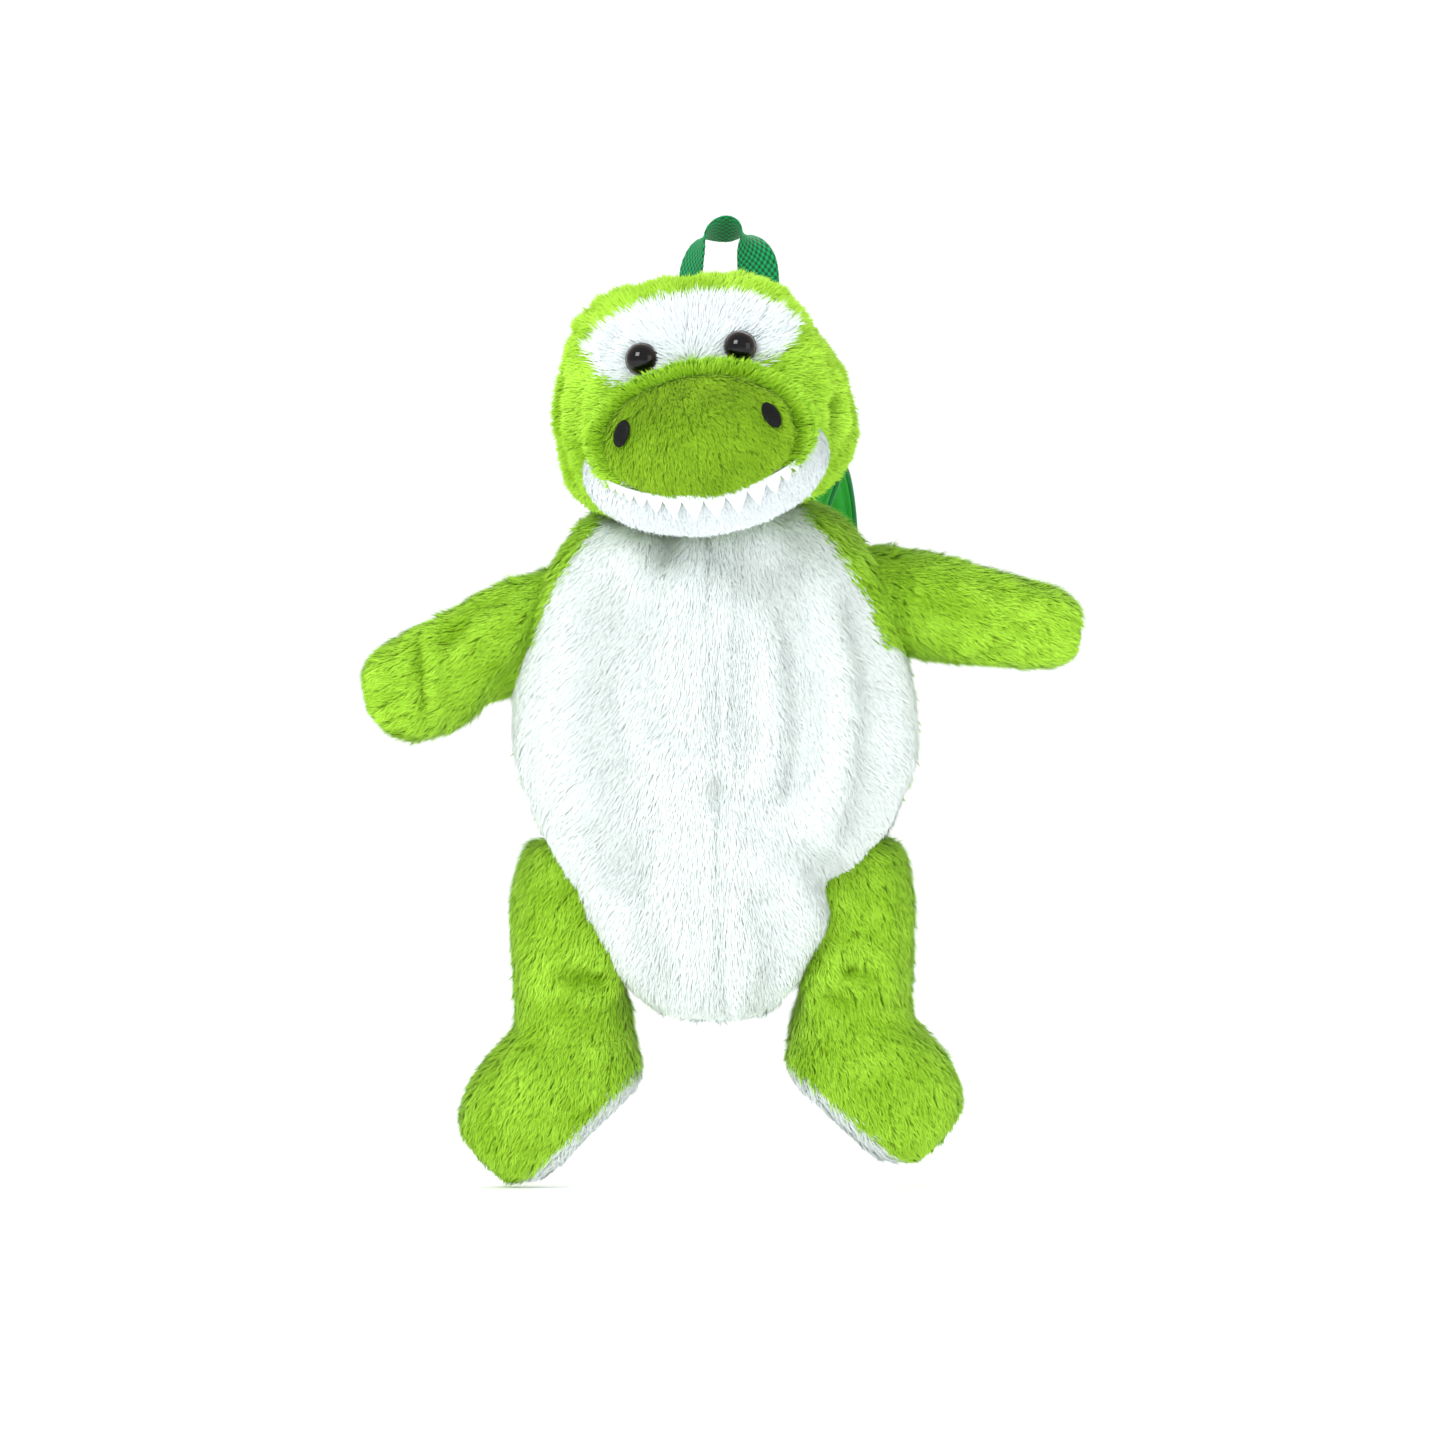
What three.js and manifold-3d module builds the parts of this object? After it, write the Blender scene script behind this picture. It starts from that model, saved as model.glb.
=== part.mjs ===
// Plush dinosaur backpack, hanging from its grab loop.
// Millimetres, +Z up. The face looks along -Y, and "left" is the toy's own left, +X.
// The origin is the highest point of the inside of the grab loop.

import * as THREE from 'three';
import { mergeVertices } from 'three/addons/utils/BufferGeometryUtils.js';
import Module from 'manifold-3d';

const wasm = await Module();
wasm.setup();
const { Manifold } = wasm;
const solidMesh = wasm.Mesh;
const degrees = Math.PI / 180;

// Driving dimensions
const gap = 0.3;                  // air between neighbouring pieces
const plush = 5;                  // knitted backing and pile together
const liningCloth = 1.2;
const bagMiddle = -11;            // X of the bag's mid-plane, as the loop hangs a little askew
const headCentre = [-17, -34, -95];
const headTurn = [0, -7 * degrees, -3 * degrees];   // rolled and turned a little, as it hangs
const neckHinge = { y: 2, z: -150, swing: [-6, 8] };
const bagLow = -414;
const bagHigh = -142;
const sideSeamY = 14;             // the belly panels wrap round the sides to this seam
const webbing = { width: 25, thickness: 1.5 };
const zip = {
  centre: [bagMiddle, 22.2, -160.8],
  tilt: -50 * degrees,            // the mouth faces up and back
  slotHalfLength: 52,
  slotHalfWidth: 7,
  teethHalfLength: 47,
  sliderStart: -42,
  pullReach: 28,
};
const arms = {
  left: { shoulder: [81, -4, -198], slope: 10, length: 101, root: 31, paw: 25, swing: 20 },
  right: { shoulder: [-99, -4, -211], slope: 26, length: 101, root: 33, paw: 30, swing: 20 },
};
const legs = {
  left: { hip: [72, 6, -330], foot: [0, -4, -115], toeOut: 42, length: 100, lean: 16 },
  right: { hip: [-95, 6, -330], foot: [0, -4, -122], toeOut: 45, length: 106, lean: 13 },
};
const legSwing = [-8, 22];

const finish = {
  lime: { color: 0x8fcb1e, roughness: 0.95 },
  limeDark: { color: 0x7ab51a, roughness: 0.95 },
  white: { color: 0xf2f7f4, roughness: 0.95 },
  felt: { color: 0xf6f8fb, roughness: 0.9 },
  stuffing: { color: 0xe9e9e4, roughness: 1 },
  lining: { color: 0x2f8f3a, roughness: 0.8 },
  webbing: { color: 0x00a85c, roughness: 0.6 },
  satin: { color: 0x3cc74a, roughness: 0.35 },
  black: { color: 0x0a0a0c, roughness: 0.08 },
  blackCloth: { color: 0x101214, roughness: 0.8 },
  plastic: { color: 0x0f7a45, roughness: 0.4 },
  nickel: { color: 0xc9ccd0, roughness: 0.25, metalness: 1 },
};

// Solids, from three.js geometry and back

function toSolid(geometry) {
  const bare = geometry.clone();
  bare.deleteAttribute('normal');
  bare.deleteAttribute('uv');
  const merged = mergeVertices(bare, 1e-4);
  const mesh = new solidMesh({
    numProp: 3,
    vertProperties: new Float32Array(merged.attributes.position.array),
    triVerts: new Uint32Array(merged.index.array),
  });
  return new Manifold(mesh);
}

function toGeometry(solid) {
  const { vertProperties, triVerts } = solid.getMesh();
  const geometry = new THREE.BufferGeometry();
  geometry.setAttribute('position', new THREE.BufferAttribute(vertProperties, 3));
  geometry.setIndex(new THREE.BufferAttribute(triVerts, 1));
  geometry.computeVertexNormals();
  return geometry;
}

function box(low, high) {
  const size = high.map((value, i) => value - low[i]);
  const geometry = new THREE.BoxGeometry(...size);
  geometry.translate(...low.map((value, i) => value + size[i] / 2));
  return toSolid(geometry);
}

// A cylinder from one point to another.
function rod(from, to, radius, sides = 16) {
  const start = new THREE.Vector3(...from);
  const along = new THREE.Vector3(...to).sub(start);
  const geometry = new THREE.CylinderGeometry(radius, radius, along.length(), sides);
  geometry.translate(0, along.length() / 2, 0);
  geometry.applyQuaternion(new THREE.Quaternion().setFromUnitVectors(
    new THREE.Vector3(0, 1, 0), along.clone().normalize()));
  geometry.translate(...from);
  return toSolid(geometry);
}

function ellipsoid(centre, radii, grow = 0, sides = 18, rows = 10) {
  const geometry = new THREE.SphereGeometry(1, sides, rows);
  geometry.scale(...radii.map((radius) => radius + grow));
  geometry.translate(...centre);
  return toSolid(geometry);
}

// The biggest of the bodies that a cut leaves.
function largest(solid) {
  const bodies = solid.decompose();
  const volume = (body) => body.volume();
  return bodies.reduce((best, body) => (volume(body) > volume(best) ? body : best));
}

function moved(solid, group) {
  group.updateWorldMatrix(true, false);
  return solid.transform(group.matrixWorld.elements);
}

function inFrameOf(solid, group) {
  group.updateWorldMatrix(true, false);
  return solid.transform(group.matrixWorld.clone().invert().elements);
}

// The solid turned about a line through a point, along X (0) or Y (1).
function turned(solid, point, axis, angle) {
  const turn = [0, 0, 0];
  turn[axis] = angle;
  return solid.translate(point.map((value) => -value)).rotate(turn).translate(point);
}

// The union of a solid at evenly spaced turns through a range.
function swept(solid, point, axis, [from, to], steps) {
  const turns = Array.from({ length: steps }, (_, i) => from + (to - from) * i / (steps - 1));
  return turns.map((angle) => turned(solid, point, axis, angle)).reduce((all, one) => all.add(one));
}

// A closed skin through rings of points, with a pole at each end.
function skin(rings, start, end) {
  const sides = rings[0].length;
  const points = [start, ...rings.flat(), end];
  const index = [];
  for (let i = 0; i < sides; i += 1) {
    const next = (i + 1) % sides;
    index.push(0, 1 + next, 1 + i);
    for (let ring = 0; ring < rings.length - 1; ring += 1) {
      const a = 1 + ring * sides;
      const b = a + sides;
      index.push(a + i, a + next, b + next, a + i, b + next, b + i);
    }
    const last = 1 + (rings.length - 1) * sides;
    index.push(last + i, last + next, points.length - 1);
  }
  const geometry = new THREE.BufferGeometry();
  geometry.setAttribute('position', new THREE.Float32BufferAttribute(points.flat(), 3));
  geometry.setIndex(index);
  return toSolid(geometry);
}

// A stuffed form stacked up along Z from stations: where it is, its half-width, and how far it
// reaches to the front (-Y) and the back. Both ends round off, and inset shrinks it all over.
function stacked(form, inset = 0) {
  const { stations, low, high, round, frontPower = 2.2, backPower = 2.2 } = form;
  const { sides = 24, rows = 12 } = form;
  const values = stations.flatMap((s) => [s.x ?? 0, s.y ?? 0, s.side, s.front, s.back]);
  const shape = new THREE.CubicInterpolant(stations.map((s) => s.at), values, 5);
  const middle = (low + high) / 2;
  const half = (high - low) / 2;
  const rings = [];
  for (let row = 1; row < rows; row += 1) {
    const level = -Math.cos(Math.PI * row / rows);
    const fullness = (1 - Math.abs(level) ** round) ** (1 / round);
    const [x, y, side, front, back] = shape.evaluate(middle + half * level);
    rings.push(Array.from({ length: sides }, (_, i) => {
      const angle = 2 * Math.PI * i / sides;
      const across = Math.cos(angle);
      const deep = Math.sin(angle);
      const power = deep < 0 ? frontPower : backPower;
      const reach = (deep < 0 ? front : back) * fullness - inset;
      return [
        x + (side * fullness - inset) * Math.sign(across) * Math.abs(across) ** (2 / power),
        y + reach * Math.sign(deep) * Math.abs(deep) ** (2 / power),
        middle + (half - inset) * level,
      ];
    }));
  }
  const pole = (level) => {
    const [x, y] = shape.evaluate(middle + half * level);
    return [x, y, middle + (half - inset) * level];
  };
  return skin(rings, pole(-1), pole(1));
}

// A flat band or padded strap along a path. Each station gives a point, the direction across
// the band there, and its width.
function band(stations, thickness, steps) {
  const path = new THREE.CatmullRomCurve3(stations.map((s) => new THREE.Vector3(...s.at)));
  const values = stations.flatMap((s) => [...s.across, s.width]);
  const spread = new THREE.CubicInterpolant(stations.map((_, i) => i), values, 4);
  const rings = Array.from({ length: steps + 1 }, (_, step) => {
    const t = step / steps;
    const at = path.getPoint(t);
    const [x, y, z, width] = spread.evaluate(t * (stations.length - 1));
    const ahead = path.getTangent(t);
    const across = new THREE.Vector3(x, y, z);
    across.addScaledVector(ahead, -across.dot(ahead)).normalize();
    const out = new THREE.Vector3().crossVectors(ahead, across);
    const corners = [[-1, -1], [-1, 1], [1, 1], [1, -1]];
    return corners.map(([side, face]) => at.clone()
      .addScaledVector(across, side * width / 2)
      .addScaledVector(out, -face * thickness / 2).toArray());
  });
  const middle = (ring) => [0, 1, 2].map((i) => ring.reduce((sum, p) => sum + p[i], 0) / 4);
  return skin(rings, middle(rings[0]), middle(rings[steps]));
}

const object = new THREE.Group();
const headGroup = new THREE.Group();
headGroup.position.set(...headCentre);
headGroup.rotation.set(...headTurn);
object.add(headGroup);

function piece(group, name, solid, look) {
  const material = new THREE.MeshStandardMaterial({ metalness: 0, ...finish[look] });
  const mesh = new THREE.Mesh(toGeometry(solid), material);
  mesh.name = name;
  group.add(mesh);
}

const far = 500;                  // past every piece, for cutting planes

// Head: its forms are in the head's own frame, about the head's centre

const headForm = {
  low: -63,
  high: 64,
  round: 3.1,
  sides: 20,
  rows: 11,
  stations: [
    { at: -63, side: 84, front: 56, back: 50 },
    { at: -20, side: 80, front: 61, back: 56 },
    { at: 15, x: -1, side: 75, front: 60, back: 58 },
    { at: 36, x: -3, side: 67, front: 56, back: 56 },
    { at: 64, x: -4, side: 66, front: 50, back: 52 },
  ],
};
const muzzleForm = { centre: [0, -52, -20.7], radii: [58, 45, 37] };
const jawForm = { centre: [0, -40, -34], radii: [64, 40, 37], top: -23 };
const padSeamY = -72;             // the muzzle's front pad meets its rim here
const eyes = { x: 25.3, z: 22.5, y: -53.5, radius: 8 };
const nostrils = { x: 38.4, z: -14.7, halfWidth: 4, halfHeight: 7.5, lean: -24 * degrees };
const headSolid = (grow) => stacked(headForm, -grow);
const muzzleSolid = (grow) => ellipsoid(muzzleForm.centre, muzzleForm.radii, grow);
const jawSolid = (grow) => ellipsoid(jawForm.centre, jawForm.radii, grow);

// The white patch over the eyes, as a prism along Y that cuts the head's skin.
function browPrism(grow) {
  const shape = new THREE.Shape();
  shape.moveTo(-53, 30);
  shape.quadraticCurveTo(-42, 46, -22, 50);
  shape.quadraticCurveTo(-8, 54, 0, 53);
  shape.quadraticCurveTo(8, 54, 22, 52);
  shape.quadraticCurveTo(44, 47, 54, 29);
  shape.quadraticCurveTo(40, 11, 24, 11);
  shape.quadraticCurveTo(0, 17, -24, 11);
  shape.quadraticCurveTo(-40, 12, -53, 30);
  const geometry = new THREE.ExtrudeGeometry(shape, { depth: 100, bevelEnabled: false, curveSegments: 3 });
  geometry.translate(0, -34, 0);
  geometry.scale(1 + grow / 56, 1 + grow / 24, 1);
  geometry.translate(0, 34, 0);
  geometry.rotateX(Math.PI / 2);
  return toSolid(geometry);
}

function safetyEye(side) {
  const profile = [[0, -3], [2.3, -3], [2.3, 6], [6.5, 6], [8.6, 7], [8.6, 8.6]];
  for (let angle = 22.5; angle < 90; angle += 22.5) {
    profile.push([eyes.radius * Math.cos(angle * degrees), 8.6 + 6 * Math.sin(angle * degrees)]);
  }
  profile.push([0, 14.6]);
  const points = profile.map(([r, h]) => new THREE.Vector2(r, h));
  const geometry = new THREE.LatheGeometry(points, 12);
  geometry.rotateX(Math.PI);      // from the washer out to the dome, along -Y
  geometry.translate(side * eyes.x, eyes.y + 7.4, eyes.z);
  return toSolid(geometry);
}

function eyeWasher(side) {
  const back = eyes.y + 7.4;
  const centre = (y) => [side * eyes.x, y, eyes.z];
  const disc = rod(centre(back - 0.2), centre(back + 1.8), 7, 16);
  return disc.subtract(rod(centre(back - 9), centre(back + 9), 2.3 + gap, 12));
}

// Room for each eye: its flange pressed into the pile, its shank, and the washer behind.
function eyeRoom() {
  const room = (side) => {
    const centre = (y) => [side * eyes.x, y, eyes.z];
    const flange = rod(centre(-90), centre(eyes.y + 1.4 + gap), 8.6 + gap, 16);
    const shank = rod(centre(-90), centre(eyes.y + 12), 2.8, 12);
    return flange.add(shank).add(rod(centre(eyes.y + 6.5), centre(eyes.y + 11), 8, 16));
  };
  return room(1).add(room(-1));
}

// The felt teeth: a thin strip over the jaw with a zigzag lower edge.
function teethPrism() {
  const count = 15;
  const reach = 62 * degrees;
  const line = (angle, drop) => [
    (muzzleForm.radii[0] + 2) * Math.sin(angle),
    muzzleForm.centre[2] - (muzzleForm.radii[2] + drop) * Math.cos(angle),
  ];
  const shape = new THREE.Shape();
  shape.moveTo(...line(-reach, 0));
  for (let i = 0; i < count; i += 1) {
    const size = 3 + 4.5 * Math.cos((i / (count - 1) - 0.6) * Math.PI) ** 2;
    shape.lineTo(...line(reach * ((2 * i + 1) / count - 1), size));
    shape.lineTo(...line(reach * ((2 * i + 2) / count - 1), 0));
  }
  shape.lineTo(reach * 45, 0);
  shape.lineTo(-reach * 45, 0);
  const geometry = new THREE.ExtrudeGeometry(shape, { depth: 200, bevelEnabled: false });
  geometry.rotateX(Math.PI / 2);
  return toSolid(geometry);
}

function makeHead() {
  const cover = headSolid(0).subtract(headSolid(-plush)).subtract(eyeRoom());
  const front = box([-far, -far, -far], [far, 4 - gap / 2, far]);
  const back = box([-far, 4 + gap / 2, -far], [far, far, far]);
  piece(headGroup, 'face_panel', cover.intersect(front).subtract(browPrism(gap)), 'lime');
  piece(headGroup, 'head_back_panel', cover.intersect(back), 'lime');
  piece(headGroup, 'brow_patch', cover.intersect(front).intersect(browPrism(0)), 'white');
  piece(headGroup, 'head_stuffing', headSolid(-plush - gap).subtract(eyeRoom()), 'stuffing');
  for (const [name, side] of [['left', 1], ['right', -1]]) {
    piece(headGroup, `eye_${name}`, safetyEye(side), 'black');
    piece(headGroup, `eye_washer_${name}`, eyeWasher(side), 'white');
  }
}

function makeMuzzle() {
  const clear = headSolid(gap).add(eyeRoom());
  const cover = muzzleSolid(0).subtract(muzzleSolid(-plush)).subtract(clear);
  const rim = box([-far, padSeamY + gap / 2, -far], [far, far, far]);
  const front = box([-far, -far, -far], [far, padSeamY - gap / 2, far]);
  piece(headGroup, 'muzzle_rim', cover.intersect(rim), 'lime');
  piece(headGroup, 'muzzle_pad', cover.intersect(front), 'limeDark');
  piece(headGroup, 'muzzle_stuffing', muzzleSolid(-plush - gap).subtract(clear), 'stuffing');
  for (const [name, side] of [['left', 1], ['right', -1]]) {
    const spot = new THREE.CylinderGeometry(1, 1, 100, 18);
    spot.scale(nostrils.halfWidth, 1, nostrils.halfHeight);
    spot.rotateY(side * nostrils.lean);
    spot.translate(side * nostrils.x, -80, nostrils.z);
    const patch = muzzleSolid(1.2 + gap).subtract(muzzleSolid(gap)).intersect(toSolid(spot));
    piece(headGroup, `nostril_${name}`, patch.intersect(front), 'blackCloth');
  }
}

function makeJaw() {
  const clear = headSolid(gap).add(muzzleSolid(gap));
  const below = box([-far, -far, -far], [far, far, jawForm.top]);
  const cover = jawSolid(0).subtract(jawSolid(-plush));
  piece(headGroup, 'jaw_panel', cover.subtract(clear).intersect(below), 'white');
  const filling = jawSolid(-plush - gap).subtract(clear).intersect(below);
  piece(headGroup, 'jaw_stuffing', filling, 'stuffing');
  const felt = jawSolid(1.2 + gap).subtract(jawSolid(gap)).intersect(teethPrism());
  piece(headGroup, 'upper_teeth', largest(felt.subtract(clear)), 'felt');
}

function makeGrabLoop() {
  const stations = [
    { at: [-24, 15.5, -66], across: [0.6, -0.8, 0] },
    { at: [-24, 11, -53], across: [0.55, -0.84, 0] },
    { at: [-23.5, 9, -38], across: [0.48, -0.88, 0.05] },
    { at: [-21.5, 9, -22], across: [0.45, -0.87, 0.15] },
    { at: [-15.5, 9, -9.5], across: [0.3, -0.87, 0.35] },
    { at: [-5, 10, -5.5], across: [0, -0.87, 0.5] },
    { at: [5, 9.5, -9], across: [-0.5, -0.75, 0.35] },
    { at: [11, 8.5, -21], across: [-0.8, -0.55, 0.1] },
    { at: [12.5, 8.5, -37], across: [-0.86, -0.5, 0] },
    { at: [13, 11, -51], across: [-0.88, -0.47, 0] },
    { at: [13, 15.5, -64], across: [-0.88, -0.47, 0] },
  ].map((station) => ({ ...station, width: webbing.width }));
  const loop = band(stations, webbing.thickness, 36);
  piece(object, 'grab_loop', largest(loop.subtract(moved(headSolid(gap), headGroup))), 'webbing');
}

// Bag: a slack sack with a flat back, hollow inside

const bagForm = {
  low: bagLow,
  high: bagHigh,
  round: 4,
  backPower: 4,
  sides: 24,
  rows: 12,
  stations: [
    { at: -414, x: -9, y: -8, side: 50, front: 44, back: 26 },
    { at: -378, x: -13, y: -6, side: 60, front: 48, back: 30 },
    { at: -353, x: -13, y: -5, side: 65.5, front: 51, back: 34 },
    { at: -327, x: -12, y: -5, side: 79, front: 54, back: 40 },
    { at: -312, x: -11, y: -5, side: 91, front: 55, back: 43 },
    { at: -288, x: -10, y: -5, side: 102, front: 56, back: 45 },
    { at: -262, x: -10, y: -5, side: 105, front: 55, back: 46 },
    { at: -219, x: -11, y: -5, side: 97, front: 51, back: 45 },
    { at: -190, x: -10, y: -5, side: 91, front: 46, back: 43 },
    { at: -142, x: -11, y: -5, side: 84, front: 42, back: 40 },
  ],
};

const zipGroup = new THREE.Group();
zipGroup.position.set(...zip.centre);
zipGroup.rotation.x = zip.tilt;
object.add(zipGroup);

// The bag shrunk by inset, flattened for the zip and kept clear of the nodding head.
function bagSolid(inset, form = bagForm) {
  const face = moved(box([-far, -far, -far], [far, far, -inset]), zipGroup);
  const head = moved(headSolid(1.2 + inset).add(jawSolid(1.2 + inset)), headGroup);
  const hinge = [0, neckHinge.y, neckHinge.z];
  const range = neckHinge.swing.map((angle) => -angle);
  return stacked(form, inset).intersect(face).subtract(swept(head, hinge, 0, range, 2));
}

const zipSlot = (extra) => moved(box(
  [-zip.slotHalfLength - extra, -zip.slotHalfWidth - extra, -20],
  [zip.slotHalfLength + extra, zip.slotHalfWidth + extra, 20],
), zipGroup);

// The gussets' inner outline: distance from the bag's mid-plane, and Z
const gussetOutline = [
  [40, -120], [47, -147], [66, -166], [77, -181], [88, -201], [94, -219], [150, -236], [150, -120],
];

// The green shoulder gussets, as prisms along Y in front of the side seam, grown by extra.
function shoulders(extra) {
  const prism = (side) => {
    const corners = gussetOutline.map(([x, z]) => new THREE.Vector2(side * (x - extra), z - extra));
    const settings = { depth: far, bevelEnabled: false };
    const geometry = new THREE.ExtrudeGeometry(new THREE.Shape(corners), settings);
    geometry.rotateX(Math.PI / 2);
    geometry.translate(bagMiddle, sideSeamY + 2, 0);
    return toSolid(geometry);
  };
  return prism(1).add(prism(-1));
}

function makeBag() {
  const cover = bagSolid(0).subtract(bagSolid(plush)).subtract(zipSlot(0));
  const front = (low, high) => box(low, high).subtract(shoulders(gap));
  const frontLeft = front([bagMiddle + gap / 2, -far, -far], [far, sideSeamY - gap / 2, far]);
  const frontRight = front([-far, -far, -far], [bagMiddle - gap / 2, sideSeamY - gap / 2, far]);
  const rear = box([-far, sideSeamY + gap / 2, -far], [far, far, far]).add(shoulders(0));
  const above = moved(box([-far, -far, -far], [far, -gap / 2, far]), zipGroup);
  const below = moved(box([-far, gap / 2, -far], [far, far, far]), zipGroup);
  piece(object, 'belly_panel_left', cover.intersect(frontLeft), 'white');
  piece(object, 'belly_panel_right', cover.intersect(frontRight), 'white');
  piece(object, 'back_yoke', cover.intersect(rear).intersect(above), 'lime');
  piece(object, 'back_panel', cover.intersect(rear).intersect(below), 'lime');
  const inside = (inset) => bagSolid(plush + gap + inset, { ...bagForm, sides: bagForm.sides / 2 });
  const lining = inside(0).subtract(inside(liningCloth));
  piece(object, 'lining', lining.subtract(zipSlot(0.5)), 'lining');
}

// Zip: in its own frame, where X runs along it, -Y is up and Z faces out

function makeZip() {
  const length = zip.teethHalfLength;
  const edge = zip.slotHalfWidth - gap;
  for (const [name, side] of [['upper', -1], ['lower', 1]]) {
    const strip = (inner, outer, end, low, high) => {
      const ys = [side * inner, side * outer].sort((a, b) => a - b);
      return box([-end, ys[0], low], [end, ys[1], high]);
    };
    piece(zipGroup, `zip_tape_${name}`, strip(0.15, edge, 51, -1.6, -0.6), 'webbing');
    piece(zipGroup, `zip_teeth_${name}`, strip(0.15, 2.2, length, -0.3, 1.5), 'plastic');
  }
  for (const [name, side] of [['left', 1], ['right', -1]]) {
    const x = side * (length + 1.5);
    piece(zipGroup, `zip_stop_${name}`, box([x - 1, -2.4, -0.3], [x + 1, 2.4, 1.7]), 'nickel');
  }
  const start = zip.sliderStart;
  const flange = (side) => {
    const ys = [side * 2.5, side * 3.5].sort((a, b) => a - b);
    return box([start - 5, ys[0], -0.2], [start + 5, ys[1], 2]);
  };
  const post = (side) => box([start + side * 3.6 - 0.6, -1, 3], [start + side * 3.6 + 0.6, 1, 6.4]);
  const plate = box([start - 6, -4.5, 1.8], [start + 6, 4.5, 3.2]);
  const bridge = box([start - 4.2, -1, 5.2], [start + 4.2, 1, 6.4]);
  const slider = plate.add(flange(1)).add(flange(-1)).add(post(1)).add(post(-1)).add(bridge);
  piece(zipGroup, 'zip_slider', slider, 'nickel');
  const pin = rod([start, -3.3, 4.2], [start, 3.3, 4.2], 0.7, 10);
  const ring = box([start - 8, -3.5, 3.5], [start + 0.7, 3.5, 4.9])
    .subtract(box([start - 5.4, -1.6, 3], [start + 2, 1.6, 6]));
  const tab = box([start - zip.pullReach, -3.5, 3.5], [start - 7.9, 3.5, 4.9]);
  piece(zipGroup, 'zip_pull', ring.add(tab).add(pin), 'nickel');
}

// Shoulder straps: padded above, webbing with a three-bar slider below

const strapAcross = [1, 0, 0];
const strapShift = 10;            // the right strap lies this much nearer the middle
const strapX = (side, x) => bagMiddle + side * (side > 0 ? x : x - strapShift);
const lowerWeb = { top: [53, 62, -262], bottom: [53, 39.5, -330] };

function makeStrap(name, side) {
  const place = ([x, y, z]) => [strapX(side, x), y, z];
  const station = (point, width) => ({ at: place(point), across: strapAcross, width });
  const pad = band([
    station([31, 43.5, -196], 34),
    station([33, 48, -176], 36),
    station([41, 55, -146], 38),
    station([48, 66, -130], 40),
    station([53, 78, -148], 40),
    station([55, 82, -182], 40),
    station([55, 77, -222], 39),
    station([53, 65.5, -252], 34),
  ], 6, 22);
  piece(object, `shoulder_strap_${name}`, pad.subtract(bagSolid(-gap)), 'satin');
  const web = band([
    station(lowerWeb.top, webbing.width),
    station([53, 50.75, -296], webbing.width),
    station(lowerWeb.bottom, webbing.width),
  ], webbing.thickness, 4);
  piece(object, `strap_webbing_${name}`, web, 'webbing');
  const tab = new THREE.Shape([[-22, 0], [22, 0], [0, 26]].map(([x, y]) => new THREE.Vector2(x, y)));
  const geometry = new THREE.ExtrudeGeometry(tab, { depth: 3, bevelEnabled: false });
  const lean = new THREE.Group();
  lean.position.set(...place([48, 38.5, -352]));
  lean.rotation.x = 82 * degrees;
  const flat = moved(toSolid(geometry), lean).subtract(bagSolid(-gap)).subtract(web);
  piece(object, `strap_tab_${name}`, flat, 'webbing');
}

// The slider's outer bars lie behind the webbing and its middle bar in front.
function makeStrapSlider(name, side) {
  const group = new THREE.Group();
  const top = new THREE.Vector3(...lowerWeb.top);
  const bottom = new THREE.Vector3(...lowerWeb.bottom);
  const middle = top.clone().lerp(bottom, 0.45);
  group.position.set(strapX(side, middle.x), middle.y, middle.z);
  group.rotation.x = -Math.atan2(top.y - bottom.y, top.z - bottom.z);
  object.add(group);
  const rail = (x) => box([x - 1.5, -2.6, -11], [x + 1.5, 3.4, 11]);
  const bar = (y, z) => box([-15, y - 1.1, z - 1.4], [15, y + 1.1, z + 1.4]);
  const frame = rail(-15).add(rail(15)).add(bar(2.3, 9.4)).add(bar(2.3, -9.4)).add(bar(-2.2, 0));
  piece(group, `strap_slider_${name}`, frame, 'plastic');
}

// Limbs: each in a frame at its joint, with +Z running out along it

// What the bag sweeps as the limb swings about X (0) or Y (1), in the limb's frame.
function limbRoom(group, axis, range, extra) {
  const bag = stacked({ ...bagForm, sides: 16, rows: 9 }, -3 - extra);
  return swept(inFrameOf(bag, group), [0, 0, 0], axis, range, 3);
}

function makeArm(name, side) {
  const arm = arms[name];
  const group = new THREE.Group();
  group.position.set(...arm.shoulder);
  group.rotation.y = side * (90 + arm.slope) * degrees;
  object.add(group);
  const form = {
    low: -14,
    high: arm.length,
    round: 3.4,
    sides: 14,
    rows: 8,
    stations: [
      { at: -14, side: arm.root + 4, front: 28, back: 28 },
      { at: arm.length * 0.35, side: arm.root - 3, front: 27, back: 27 },
      { at: arm.length * 0.7, side: arm.paw + 1, front: 24, back: 24 },
      { at: arm.length, side: arm.paw + 3, front: 25, back: 25 },
    ],
  };
  const range = [-arm.swing, arm.swing];
  const outer = stacked(form).subtract(limbRoom(group, 1, range, 0));
  const inner = stacked(form, plush).subtract(limbRoom(group, 1, range, -1.5));
  piece(group, `arm_cover_${name}`, outer.subtract(inner), 'lime');
  const filling = stacked(form, plush + gap).subtract(limbRoom(group, 1, range, gap));
  piece(group, `arm_stuffing_${name}`, filling, 'stuffing');
}

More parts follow.
